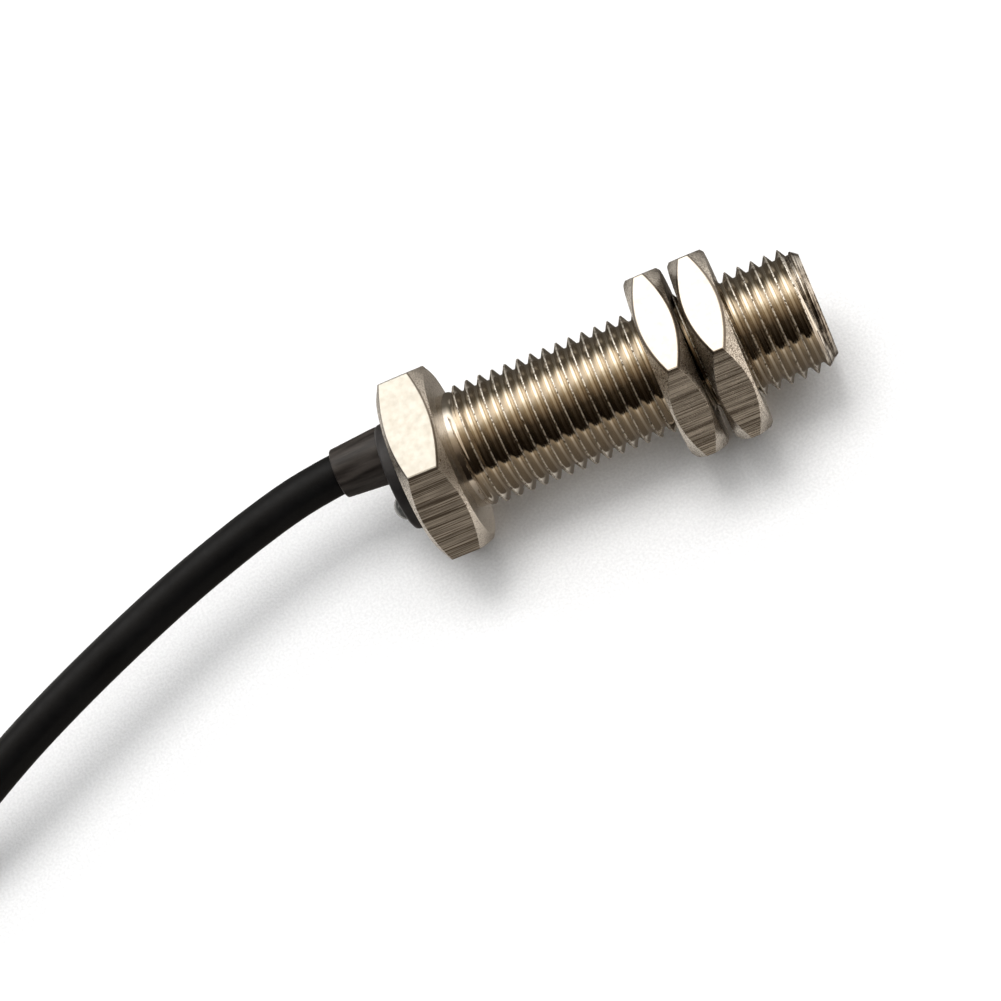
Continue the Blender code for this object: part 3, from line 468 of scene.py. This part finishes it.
def lamp_lens():
    """Smoky diffused epoxy."""
    shader = Shader("smoky_lens")
    shader.constant(coat_weight=0.5, coat_roughness=0.08)
    shader.colour(shader.spread(shader.noise(500.0), 0.3, 0.7), (0.035, 0.037, 0.036),
                  (0.075, 0.078, 0.074))
    shader.roughness(shader.noise(1500.0), 0.20, 0.30)
    return shader.material


def floor_surface():
    shader = Shader("pale_floor")
    shader.constant(specular_ior_level=0.0)
    grain = shader.noise(3200.0, detail=3.0)
    shader.colour(shader.spread(grain, 0.35, 0.65), (0.80, 0.80, 0.80), (0.88, 0.88, 0.88))
    shader.bump(grain, 0.06 * MM)
    shader.roughness(shader.noise(60.0), 0.75, 0.9)
    return shader.material


# ------------------------------------------------------------------ mesh helpers
def new_piece(name, mesh, materials, body, *nodes):
    """Object for a finished mesh, riding on a body and standing for those CAD nodes."""
    piece = bpy.data.objects.new(name, mesh)
    bpy.context.collection.objects.link(piece)
    for material in materials:
        mesh.materials.append(material)
    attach(piece, body)
    if nodes:
        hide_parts(*nodes)
    return piece


def rounded(outline, radius, steps=4):
    """Outline with every inner corner rounded; the first and last points stay."""
    points = [Vector(point) for point in outline]
    made = [points[0]]
    for before, corner, after in zip(points, points[1:], points[2:]):
        into, away = (before - corner), (after - corner)
        reach = min(radius, into.length * 0.45, away.length * 0.45)
        start, end = corner + into.normalized() * reach, corner + away.normalized() * reach
        for index in range(steps + 1):
            t = index / steps
            made.append((1 - t) ** 2 * start + 2 * t * (1 - t) * corner + t * t * end)
    return made + [points[-1]]


def turned_mesh(name, profile, steps=96, y=0.0, z=0.0):
    """Surface turned about a line along X through y and z above the barrel's axis."""
    shape = bmesh.new()
    rings = []
    for x, radius in profile:
        if radius < 1e-9:
            rings.append([shape.verts.new((x, y, AXIS_Z + z))])
            continue
        ring = []
        for index in range(steps):
            turn = 2 * math.pi * index / steps
            ring.append(shape.verts.new((x, y + radius * math.cos(turn),
                                         AXIS_Z + z + radius * math.sin(turn))))
        rings.append(ring)
    for first, second in zip(rings, rings[1:]):
        for index in range(steps):
            after = (index + 1) % steps
            if len(first) == 1:
                corners = (first[0], second[after], second[index])
            elif len(second) == 1:
                corners = (first[index], first[after], second[0])
            else:
                corners = (first[index], first[after], second[after], second[index])
            shape.faces.new(corners)
    bmesh.ops.recalc_face_normals(shape, faces=shape.faces)
    mesh = bpy.data.meshes.new(name)
    shape.to_mesh(mesh)
    shape.free()
    mesh.shade_smooth()
    mesh.set_sharp_from_angle(angle=math.radians(40))
    return mesh


# ------------------------------------------------------------------ threaded barrel
POLISHED, CUT_AND_SHADED = 1, 2               # material slots of the barrel, after the thread's own
THREAD_TURN_STEPS = 128
THREAD_PROFILE_MM = (0.0, 0.05, 0.09, 0.13, 0.20, 0.32, 0.45, 0.56, 0.62, 0.68)


def ease(t):
    t = max(0.0, min(1.0, t))
    return t * t * (3 - 2 * t)


def thread_radius(x, from_crest):
    """Radius at x, at a distance along the axis from the nearest crest."""
    run = (x - NECK_END_X) / RUN_IN
    crest = CREST_R - (CREST_R - NECK_R - RUN_IN_STEP) * (1 - ease(run))
    root = ROOT_R + (NECK_R - ROOT_R) * (1 - ease(run))
    flank = CREST_R - (abs(from_crest) - CREST_FLAT / 2) / math.tan(math.radians(30))
    over = max(0.0, CREST_SOFT - abs(flank - crest)) ** 2 / (4 * CREST_SOFT)
    radius = min(crest, flank) - over
    under = max(0.0, CREST_SOFT * 2 - abs(radius - root)) ** 2 / (8 * CREST_SOFT)
    radius = max(root, radius) + under
    if x < NECK_END_X:
        return NECK_R
    slope = (CREST_R - FRONT_CHAMFER_R) / FRONT_CHAMFER
    return min(radius, FRONT_CHAMFER_R + (FRONT_X - x) * slope)


def make_barrel(metal, polished, cut_and_shaded):
    """The right-hand thread as one helical grid, closed by the barrel's end ring and bore."""
    rear_x = HEAD_FRONT_X - 0.3 * MM
    offsets = [-value * MM for value in reversed(THREAD_PROFILE_MM)]
    offsets += [value * MM for value in THREAD_PROFILE_MM[1:]] + [PITCH / 2]
    first_turn = math.floor((rear_x - CREST_AT_X) / PITCH) - 2
    last_turn = math.ceil((FRONT_X - CREST_AT_X) / PITCH) + 1
    columns = [(turn, offset) for turn in range(first_turn, last_turn) for offset in offsets]
    shape = bmesh.new()
    grid = []
    for turn, offset in columns:
        row = []
        for step in range(THREAD_TURN_STEPS):
            share = step / THREAD_TURN_STEPS
            x = CREST_AT_X + PITCH * (turn + share) + offset
            x = min(max(x, rear_x), FRONT_X)
            radius = thread_radius(x, offset)
            angle = 2 * math.pi * share
            row.append(shape.verts.new((x, radius * math.cos(angle),
                                        AXIS_Z + radius * math.sin(angle))))
        grid.append(row)
    per_turn = len(offsets)
    for column in range(len(grid) - 1):
        for step in range(THREAD_TURN_STEPS):
            near, far = grid[column][step], grid[column + 1][step]
            if step + 1 < THREAD_TURN_STEPS:
                near_next, far_next = grid[column][step + 1], grid[column + 1][step + 1]
            elif column + 1 + per_turn < len(grid):
                near_next, far_next = grid[column + per_turn][0], grid[column + 1 + per_turn][0]
            else:
                near_next = far_next = grid[-1][0]
            corners = list(dict.fromkeys((near, far, far_next, near_next)))
            if len(corners) > 2:
                shape.faces.new(corners)
    bmesh.ops.remove_doubles(shape, verts=shape.verts, dist=1e-7)
    bmesh.ops.dissolve_degenerate(shape, edges=shape.edges, dist=1e-7)
    close_barrel(shape, rear_x)
    bmesh.ops.recalc_face_normals(shape, faces=shape.faces)
    mesh = bpy.data.meshes.new("threaded_barrel")
    shape.to_mesh(mesh)
    shape.free()
    mesh.shade_smooth()
    mesh.set_sharp_from_angle(angle=math.radians(50))
    piece = new_piece("threaded_barrel", mesh, [metal, polished, cut_and_shaded], "sensor", "barrel")
    for face in mesh.polygons:
        if face.center.x < NECK_END_X or face.center.x > FRONT_X - 1e-6:
            face.material_index = POLISHED
        elif face.center.x > FRONT_X - CUT_AND_SHADED_LENGTH:
            face.material_index = CUT_AND_SHADED
    return piece


def close_barrel(shape, rear_x):
    """Joins the barrel's two open ends through its bore."""
    open_edges = [edge for edge in shape.edges if edge.is_boundary]
    front = [edge for edge in open_edges if edge.verts[0].co.x > FRONT_X - 1e-6]
    rear = [edge for edge in open_edges if edge.verts[0].co.x < rear_x + 1e-6]
    for x in (FRONT_X, rear_x):
        made = bmesh.ops.extrude_edge_only(shape, edges=front)["geom"]
        for vert in (item for item in made if isinstance(item, bmesh.types.BMVert)):
            across = Vector((0.0, vert.co.y, vert.co.z - AXIS_Z)).normalized() * BORE_R
            vert.co = (x, across.y, AXIS_Z + across.z)
        front = [item for item in made if isinstance(item, bmesh.types.BMEdge)]
        front = [edge for edge in front if edge.is_boundary]
    bmesh.ops.bridge_loops(shape, edges=front + rear)


# ------------------------------------------------------------------ hexagons
CORNER_ROUND = 0.22 * MM
FLATS, TURNED = 0, 1                # material slots of a hexagon


def hexagon_outline():
    """Hexagon with a flat below, its six corners slightly rounded, as (y, z) from the axis."""
    corner_r = HEX_FLATS / math.sqrt(3)
    points = []
    for index in range(6):
        turn = math.radians(60 * index)
        centre = corner_r - CORNER_ROUND / math.cos(math.radians(30))
        for step in (-30, -10, 10, 30):
            swing = turn + math.radians(step)
            points.append((centre * math.cos(turn) + CORNER_ROUND * math.cos(swing),
                           centre * math.sin(turn) + CORNER_ROUND * math.sin(swing)))
    return points


def hexagon_prism(name, rear, front):
    shape = bmesh.new()
    outline = hexagon_outline()
    ends = [[shape.verts.new((x, y, AXIS_Z + z)) for y, z in outline] for x in (rear, front)]
    count = len(outline)
    for index in range(count):
        after = (index + 1) % count
        face = shape.faces.new((ends[0][index], ends[0][after], ends[1][after], ends[1][index]))
        face.material_index = FLATS if index % 4 == 3 else TURNED
    for end in ends:
        shape.faces.new(end).material_index = TURNED
    bmesh.ops.recalc_face_normals(shape, faces=shape.faces)
    mesh = bpy.data.meshes.new(name)
    shape.to_mesh(mesh)
    shape.free()
    return mesh


def cutter(mesh):
    for face in mesh.polygons:
        face.material_index = TURNED
    item = bpy.data.objects.new(mesh.name, mesh)
    bpy.context.collection.objects.link(item)
    return item


def hexagon_mesh(name, rear, front, rear_face_r, front_face_r, chamfer, bore, materials):
    """Hexagon turned off by a cone at each end, bored, with every edge slightly broken."""
    beyond = HEX_FLATS / math.sqrt(3) + 0.4 * MM
    margin = 0.2 * MM
    out = margin / math.tan(chamfer)
    lens = [(front + margin, 0.0), (front + margin, front_face_r - out),
            (front - (beyond - front_face_r) * math.tan(chamfer), beyond),
            (rear + (beyond - rear_face_r) * math.tan(chamfer), beyond),
            (rear - margin, rear_face_r - out), (rear - margin, 0.0)]
    cutters = [(cutter(turned_mesh(name + "_cones", lens, steps=144)), "INTERSECT"),
               (cutter(turned_mesh(name + "_bore", bore, steps=96)), "DIFFERENCE")]
    blank = bpy.data.objects.new(name + "_blank", hexagon_prism(name + "_blank", rear, front))
    bpy.context.collection.objects.link(blank)
    for item in [blank] + [item for item, _ in cutters]:
        for material in materials:
            item.data.materials.append(material)
    for item, operation in cutters:
        modifier = blank.modifiers.new(operation.lower(), "BOOLEAN")
        modifier.operation = operation
        modifier.object = item
        modifier.solver = "EXACT"
    bevel = blank.modifiers.new("broken_edges", "BEVEL")
    bevel.width = BROKEN_EDGE
    bevel.segments = 2
    bevel.limit_method = "ANGLE"
    bevel.angle_limit = math.radians(14)
    bevel.harden_normals = True
    depsgraph = bpy.context.evaluated_depsgraph_get()
    mesh = bpy.data.meshes.new_from_object(blank.evaluated_get(depsgraph))
    mesh.name = name
    for item in [blank] + [item for item, _ in cutters]:
        bpy.data.objects.remove(item)
    mesh.materials.clear()
    return mesh


def make_head(flats, turned):
    """Hexagonal head with the pocket that holds the cap."""
    pocket_x, pocket_r = HEAD_REAR_X + POCKET_DEPTH, CAP_R + CAP_PLAY
    bore = [(HEAD_FRONT_X + MM, 0.0), (HEAD_FRONT_X + MM, BORE_R), (pocket_x, BORE_R),
            (pocket_x, pocket_r), (HEAD_REAR_X + POCKET_SINK, pocket_r),
            (HEAD_REAR_X - POCKET_SINK, CAP_R + 2 * POCKET_SINK), (HEAD_REAR_X - POCKET_SINK, 0.0)]
    mesh = hexagon_mesh("hex_head", HEAD_REAR_X, HEAD_FRONT_X, HEAD_REAR_FACE_R,
                        HEAD_FRONT_FACE_R, HEAD_CHAMFER, bore, [flats, turned])
    return new_piece("hex_head", mesh, [flats, turned], "sensor", "barrel")


def make_nut(name, node, flats, turned):
    """Jam nut, countersunk on both faces."""
    low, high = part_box(node)
    rear, front = low.x, high.x
    bore_r, sink = CREST_R + NUT_PLAY, NUT_SINK
    bore = [(front + MM, 0.0), (front + MM, bore_r + sink + MM), (front - sink, bore_r),
            (rear + sink, bore_r), (rear - MM, bore_r + sink + MM), (rear - MM, 0.0)]
    mesh = hexagon_mesh(name, rear, front, NUT_FACE_R, NUT_FACE_R, NUT_CHAMFER, bore,
                        [flats, turned])
    return new_piece(name, mesh, [flats, turned], node, node)


# ------------------------------------------------------------------ cap, lamp, strain relief, face
def make_cap(plastic):
    """Rear cap with a soft edge; the ring on its flat face keeps the shading even."""
    inside = CAP_REAR_X + CAP_DEPTH
    outline = [(inside, 0.0), (inside, CAP_R), (CAP_REAR_X, CAP_R),
               (CAP_REAR_X, RELIEF_ROOT_R * 1.02), (CAP_REAR_X, 0.0)]
    mesh = turned_mesh("moulded_cap", rounded(outline, CAP_EDGE))
    return new_piece("moulded_cap", mesh, [plastic], "sensor", "rear_cap")


def make_lamp(lens):
    """Domed lamp that stands out of the cap."""
    steps = 14
    outline = [(CAP_REAR_X + LAMP_DEPTH, 0.0), (CAP_REAR_X + LAMP_DEPTH, LAMP_R)]
    for index in range(steps + 1):
        angle = index / steps * math.pi / 2
        outline.append((CAP_REAR_X - LAMP_R * math.sin(angle), LAMP_R * math.cos(angle)))
    mesh = turned_mesh("lamp_dome", outline, 48, LAMP_Y, LAMP_Z - AXIS_Z)
    return new_piece("lamp_dome", mesh, [lens], "sensor", "indicator_lamp")


def make_relief(rubber):
    """Tapered sleeve with a rounded lip, open where the cable goes in."""
    mouth_r, mouth_x = CABLE_R + MOUTH_PLAY, RELIEF_END_X + MOUTH_DEPTH
    seat_x = CAP_REAR_X + RELIEF_SEAT
    outline = [(seat_x, 0.0), (seat_x, RELIEF_ROOT_R), (CAP_REAR_X - RELIEF_COLLAR, RELIEF_ROOT_R),
               (RELIEF_END_X, RELIEF_TIP_R), (RELIEF_END_X, mouth_r), (mouth_x, mouth_r),
               (mouth_x, 0.0)]
    mesh = turned_mesh("relief_sleeve", rounded(outline, RELIEF_LIP, 5), 64,
                       EXIT_Y, EXIT_Z - AXIS_Z)
    return new_piece("relief_sleeve", mesh, [rubber], "sensor", "strain_relief")


def make_face(plastic):
    """Sensing face: a disc with a fine step round its edge and a faint dimple at the middle."""
    radius, back_x, floor_x = BORE_R - FACE_PLAY, FRONT_X - FACE_DEPTH, FRONT_X - FACE_STEP
    outline = [(back_x, 0.0), (back_x, radius), (FRONT_X, radius), (FRONT_X, radius - FACE_RIM),
               (floor_x, radius - FACE_RIM - 0.1 * MM), (floor_x, 0.6 * MM),
               (FRONT_X - 2 * FACE_STEP, 0.0)]
    mesh = turned_mesh("sensing_disc", rounded(outline, 0.12 * MM, 3), 96)
    return new_piece("sensing_disc", mesh, [plastic], "sensor", "sensing_face")


# ------------------------------------------------------------------ cable
def heading(angle):
    return Vector((math.cos(angle), math.sin(angle), 0.0))


def smooth_line(points, spacing):
    """Catmull-Rom line through the points, at about that spacing."""
    points = [Vector(point) for point in points]
    ends = [2 * points[0] - points[1]] + points + [2 * points[-1] - points[-2]]
    made = []
    for before, start, end, after in zip(ends, ends[1:], ends[2:], ends[3:]):
        count = max(1, round((end - start).length / spacing))
        for index in range(count):
            t = index / count
            made.append(0.5 * (2 * start + (end - before) * t
                               + (2 * before - 5 * start + 4 * end - after) * t * t
                               + (3 * start - before - 3 * end + after) * t * t * t))
    return made + [points[-1]]


def coil_centre():
    outer_turn_r = COIL_MID_R + (COIL_COLUMNS - 1) * CABLE_R
    centre = COIL_ENTRY + outer_turn_r * heading(COIL_ENTRY_HEADING - math.pi / 2)
    return Vector((centre.x, centre.y, 0.0))


def coil_slots():
    """Radius and height of each turn in winding order: in along one layer, back along the next."""
    slots = []
    for layer in range(COIL_LAYERS):
        columns = range(COIL_COLUMNS) if layer % 2 else reversed(range(COIL_COLUMNS))
        for column in columns:
            slots.append((COIL_MID_R + (2 * column - COIL_COLUMNS + 1) * CABLE_R,
                          CABLE_R * (2 * layer + 1)))
    return slots + [(COIL_MID_R, CABLE_R * (2 * COIL_LAYERS + 1))]


def coil_line():
    """Centreline of the stored turns, wound clockwise, each change of place a little earlier."""
    slots = coil_slots()
    centre = coil_centre()
    entry = COIL_ENTRY - centre
    start_angle = math.atan2(entry.y, entry.x)
    changes = len(slots) - 1
    full = math.radians(360)
    wound = (start_angle - TAIL_START) % full + full * (changes - 1)
    per_change = wound / changes
    total = wound + (TAIL_START - TAIL_END)
    count = math.ceil(total / COIL_STEP)
    made = []
    for index in range(count + 1):
        travelled = total * index / count
        radius, height = slots[0]
        for change in range(changes):
            done = ease((travelled - per_change * (change + 1) + CHANGE_WINDOW) / CHANGE_WINDOW)
            radius += done * (slots[change + 1][0] - slots[change][0])
            height += done * (slots[change + 1][1] - slots[change][1])
        angle = start_angle - travelled
        off_tie = (angle - TIE_ANGLE + math.pi) % full - math.pi
        lift = TIE_LIFT * ease(1.0 - (abs(off_tie) - LIFT_FLAT) / LIFT_FADE)
        made.append(centre + radius * heading(angle) + Vector((0.0, 0.0, height + lift)))
    return made


def make_cable(jacket):
    """One curve from inside the sleeve to the stripped end on top of the coil."""
    inlet = Vector((RELIEF_END_X + INLET_DEPTH, EXIT_Y, EXIT_Z))
    lead_in = COIL_ENTRY - LEAD_IN * heading(COIL_ENTRY_HEADING)
    levelled = lead_in - CABLE_R * heading(COIL_ENTRY_HEADING)
    free = smooth_line([inlet] + CABLE_ROUTE + [levelled, lead_in], ROUTE_STEP)
    middle_of_lead_in = (lead_in + COIL_ENTRY) / 2
    line = free + [middle_of_lead_in] + coil_line()
    curve = bpy.data.curves.new("cable_run", "CURVE")
    curve.dimensions = "3D"
    curve.bevel_depth = CABLE_R
    curve.bevel_resolution = 8
    curve.use_fill_caps = True
    spline = curve.splines.new("POLY")
    spline.points.add(len(line) - 1)
    for target, place in zip(spline.points, line):
        target.co = (*place, 1.0)
    spline.use_smooth = True
    cable = bpy.data.objects.new("cable_run", curve)
    bpy.context.collection.objects.link(cable)
    curve.materials.append(jacket)
    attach(cable, "sensor")
    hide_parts("cable", "cable_coil", "cable_tail")
    return cable


def make_tie(nylon):
    """Cable tie round the coil and the loose end on it: band, ratchet head and trimmed end."""
    half = COIL_COLUMNS * CABLE_R + TIE_SIDE_PLAY
    shoulder = COIL_LAYERS * 2 * CABLE_R + TIE_SHOULDER_PLAY
    top = (COIL_LAYERS + 1) * 2 * CABLE_R + TIE_TOP_PLAY
    bottom = TIE_THICK / 2
    loop = rounded([(0.0, bottom), (half, bottom), (half, shoulder), (TIE_CROWN, top),
                    (-TIE_CROWN, top), (-half, shoulder), (-half, bottom), (0.0, bottom)],
                   TIE_BEND)[:-1]
    edge, side, chamfer = TIE_THICK / 2, TIE_WIDTH / 2, TIE_CHAMFER
    section = [(edge, side - chamfer), (edge - chamfer, side), (chamfer - edge, side),
               (-edge, side - chamfer), (-edge, chamfer - side), (chamfer - edge, -side),
               (edge - chamfer, -side), (edge, chamfer - side)]
    radial, along = heading(TIE_ANGLE), heading(TIE_ANGLE + math.pi / 2)
    foot = coil_centre() + COIL_MID_R * radial

    def at(across, height, tangent):
        return foot + across * radial + tangent * along + Vector((0.0, 0.0, height))

    shape = bmesh.new()
    rings = []
    for before, here, after in zip(loop[-1:] + loop[:-1], loop, loop[1:] + loop[:1]):
        run = (after - before).normalized()
        rings.append([shape.verts.new(at(here.x + out * run.y, here.y - out * run.x, tangent))
                      for out, tangent in section])
    for first, second in zip(rings, rings[1:] + rings[:1]):
        for index in range(len(section)):
            after = (index + 1) % len(section)
            shape.faces.new((first[index], first[after], second[after], second[index]))
    out_x, ratchet_z = half + TIE_THICK / 2 + RATCHET_OUT, 0.45 * top
    blocks = ((RATCHET_SIZE, ratchet_z, RATCHET_EDGE),
              (TRIMMED_END_SIZE, ratchet_z + TRIMMED_END_UP, TIE_CHAMFER))
    for size, height, bevel in blocks:
        made = bmesh.ops.create_cube(shape, size=1.0)["verts"]
        for vert in made:
            x, y, z = (share * length for share, length in zip(vert.co, size))
            vert.co = at(out_x + x, height + z, y)
        edges = list({edge for vert in made for edge in vert.link_edges})
        bmesh.ops.bevel(shape, geom=edges, offset=bevel, segments=3, affect="EDGES", profile=0.5)
    bmesh.ops.recalc_face_normals(shape, faces=shape.faces)
    mesh = bpy.data.meshes.new("coil_band")
    shape.to_mesh(mesh)
    shape.free()
    mesh.shade_smooth()
    mesh.set_sharp_from_angle(angle=math.radians(40))
    return new_piece("coil_band", mesh, [nylon], "sensor", "coil_tie")


# ------------------------------------------------------------------ CAD pieces that stay
def finish_nodes(material, *names):
    """Gives CAD pieces that keep their shape a finished material."""
    for name in names:
        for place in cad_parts[name].material_slots:
            place.material = material


def finish_inner_parts():
    for colour, (dark, light) in {"brown": ((0.13, 0.045, 0.018), (0.20, 0.075, 0.03)),
                                  "blue": ((0.02, 0.07, 0.32), (0.04, 0.12, 0.45)),
                                  "black": ((0.008, 0.008, 0.008), (0.018, 0.018, 0.018))}.items():
        core = moulded_plastic("insulation_" + colour, dark, light, (0.35, 0.5))
        finish_nodes(core, "core_" + colour, "tail_core_" + colour)
    tinned = plain_metal("tinned_wire", (0.66, 0.66, 0.66), (0.50, 0.50, 0.50), (0.22, 0.38))
    finish_nodes(tinned, "tail_tip_brown", "tail_tip_blue", "tail_tip_black",
                 "lamp_lead_anode", "lamp_lead_cathode")
    solder = plain_metal("solder", (0.70, 0.70, 0.71), (0.52, 0.52, 0.53), (0.16, 0.34), 0.03)
    finish_nodes(solder, "solder_brown", "solder_blue", "solder_black")
    enamel = plain_metal("enamelled_copper", (0.62, 0.25, 0.09), (0.42, 0.14, 0.05), (0.2, 0.34))
    finish_nodes(enamel, "coil_winding", "winding_lead_start", "winding_lead_finish")
    plastics = (
        ("seal_rubber", (0.010, 0.010, 0.010), (0.022, 0.022, 0.022), (0.5, 0.65), ("cap_seal",)),
        ("potting_resin", (0.03, 0.022, 0.015), (0.06, 0.048, 0.035), (0.2, 0.4),
         ("potting_disc",)),
        ("board_laminate", (0.015, 0.10, 0.04), (0.035, 0.18, 0.08), (0.3, 0.5),
         ("circuit_board",)),
        ("chip_black", (0.012, 0.012, 0.013), (0.026, 0.026, 0.028), (0.4, 0.55),
         ("sensor_ic", "output_transistor", "protection_diode", "voltage_regulator")),
        ("tantalum_yellow", (0.62, 0.34, 0.03), (0.76, 0.47, 0.07), (0.4, 0.5),
         ("supply_capacitor",)),
        ("ceramic_tan", (0.36, 0.25, 0.14), (0.50, 0.37, 0.23), (0.4, 0.55),
         ("chip_capacitor_1", "chip_capacitor_2")),
        ("resistor_film", (0.025, 0.025, 0.032), (0.05, 0.05, 0.06), (0.3, 0.45),
         tuple("chip_resistor_%d" % (index + 1) for index in range(4))),
        ("ferrite", (0.06, 0.06, 0.065), (0.11, 0.11, 0.12), (0.5, 0.65), ("ferrite_core",)),
        ("bobbin_plastic", (0.68, 0.66, 0.60), (0.78, 0.76, 0.71), (0.4, 0.55),
         ("coil_bobbin", "core_holder")),
    )
    for name, dark, light, roughness, nodes in plastics:
        finish_nodes(moulded_plastic(name, dark, light, roughness), *nodes)


# ------------------------------------------------------------------ floor
def make_floor(surface):
    bpy.ops.mesh.primitive_plane_add(size=6.0)
    floor = bpy.context.object
    floor.name = "floor"
    floor.data.materials.append(surface)
    floor.visible_glossy = False


make_camera()
make_lights()
make_world()
make_floor(floor_surface())

tie = make_tie(moulded_plastic("tie_nylon", (0.010, 0.010, 0.010), (0.022, 0.022, 0.022),
                               (0.35, 0.5)))
make_cable(cable_jacket())

polished = turned_metal("polished_nickel", NICKEL, NICKEL_DARK, (0.05, 0.10), 0.0015)
turned = turned_metal("turned_nickel", NICKEL_BRIGHT, NICKEL_CHAMFER, (0.20, 0.24), 0.00015)
milled = drawn_metal("milled_nickel", NICKEL_PAINTED_TOP, NICKEL_PAINTED_TOP_DARK, (0.30, 0.42), 12000.0, 0.018)
drawn = drawn_metal("drawn_nickel", NICKEL, NICKEL_DARK, (0.24, 0.34), 14000.0, 0.016)
make_barrel(thread_metal(), polished, cut_and_shaded_metal())
make_head(milled, turned)
make_nut("rear_jam_nut", "rear_nut", drawn, turned)
make_nut("front_jam_nut", "front_nut", drawn, turned)
make_cap(moulded_plastic("cap_black", (0.012, 0.011, 0.011), (0.026, 0.024, 0.024),
                                 (0.34, 0.5)))
make_lamp(lamp_lens())
make_relief(relief_rubber())
make_face(moulded_plastic("face_black", (0.012, 0.012, 0.012), (0.022, 0.022, 0.022),
                                  (0.4, 0.55)))
finish_inner_parts()
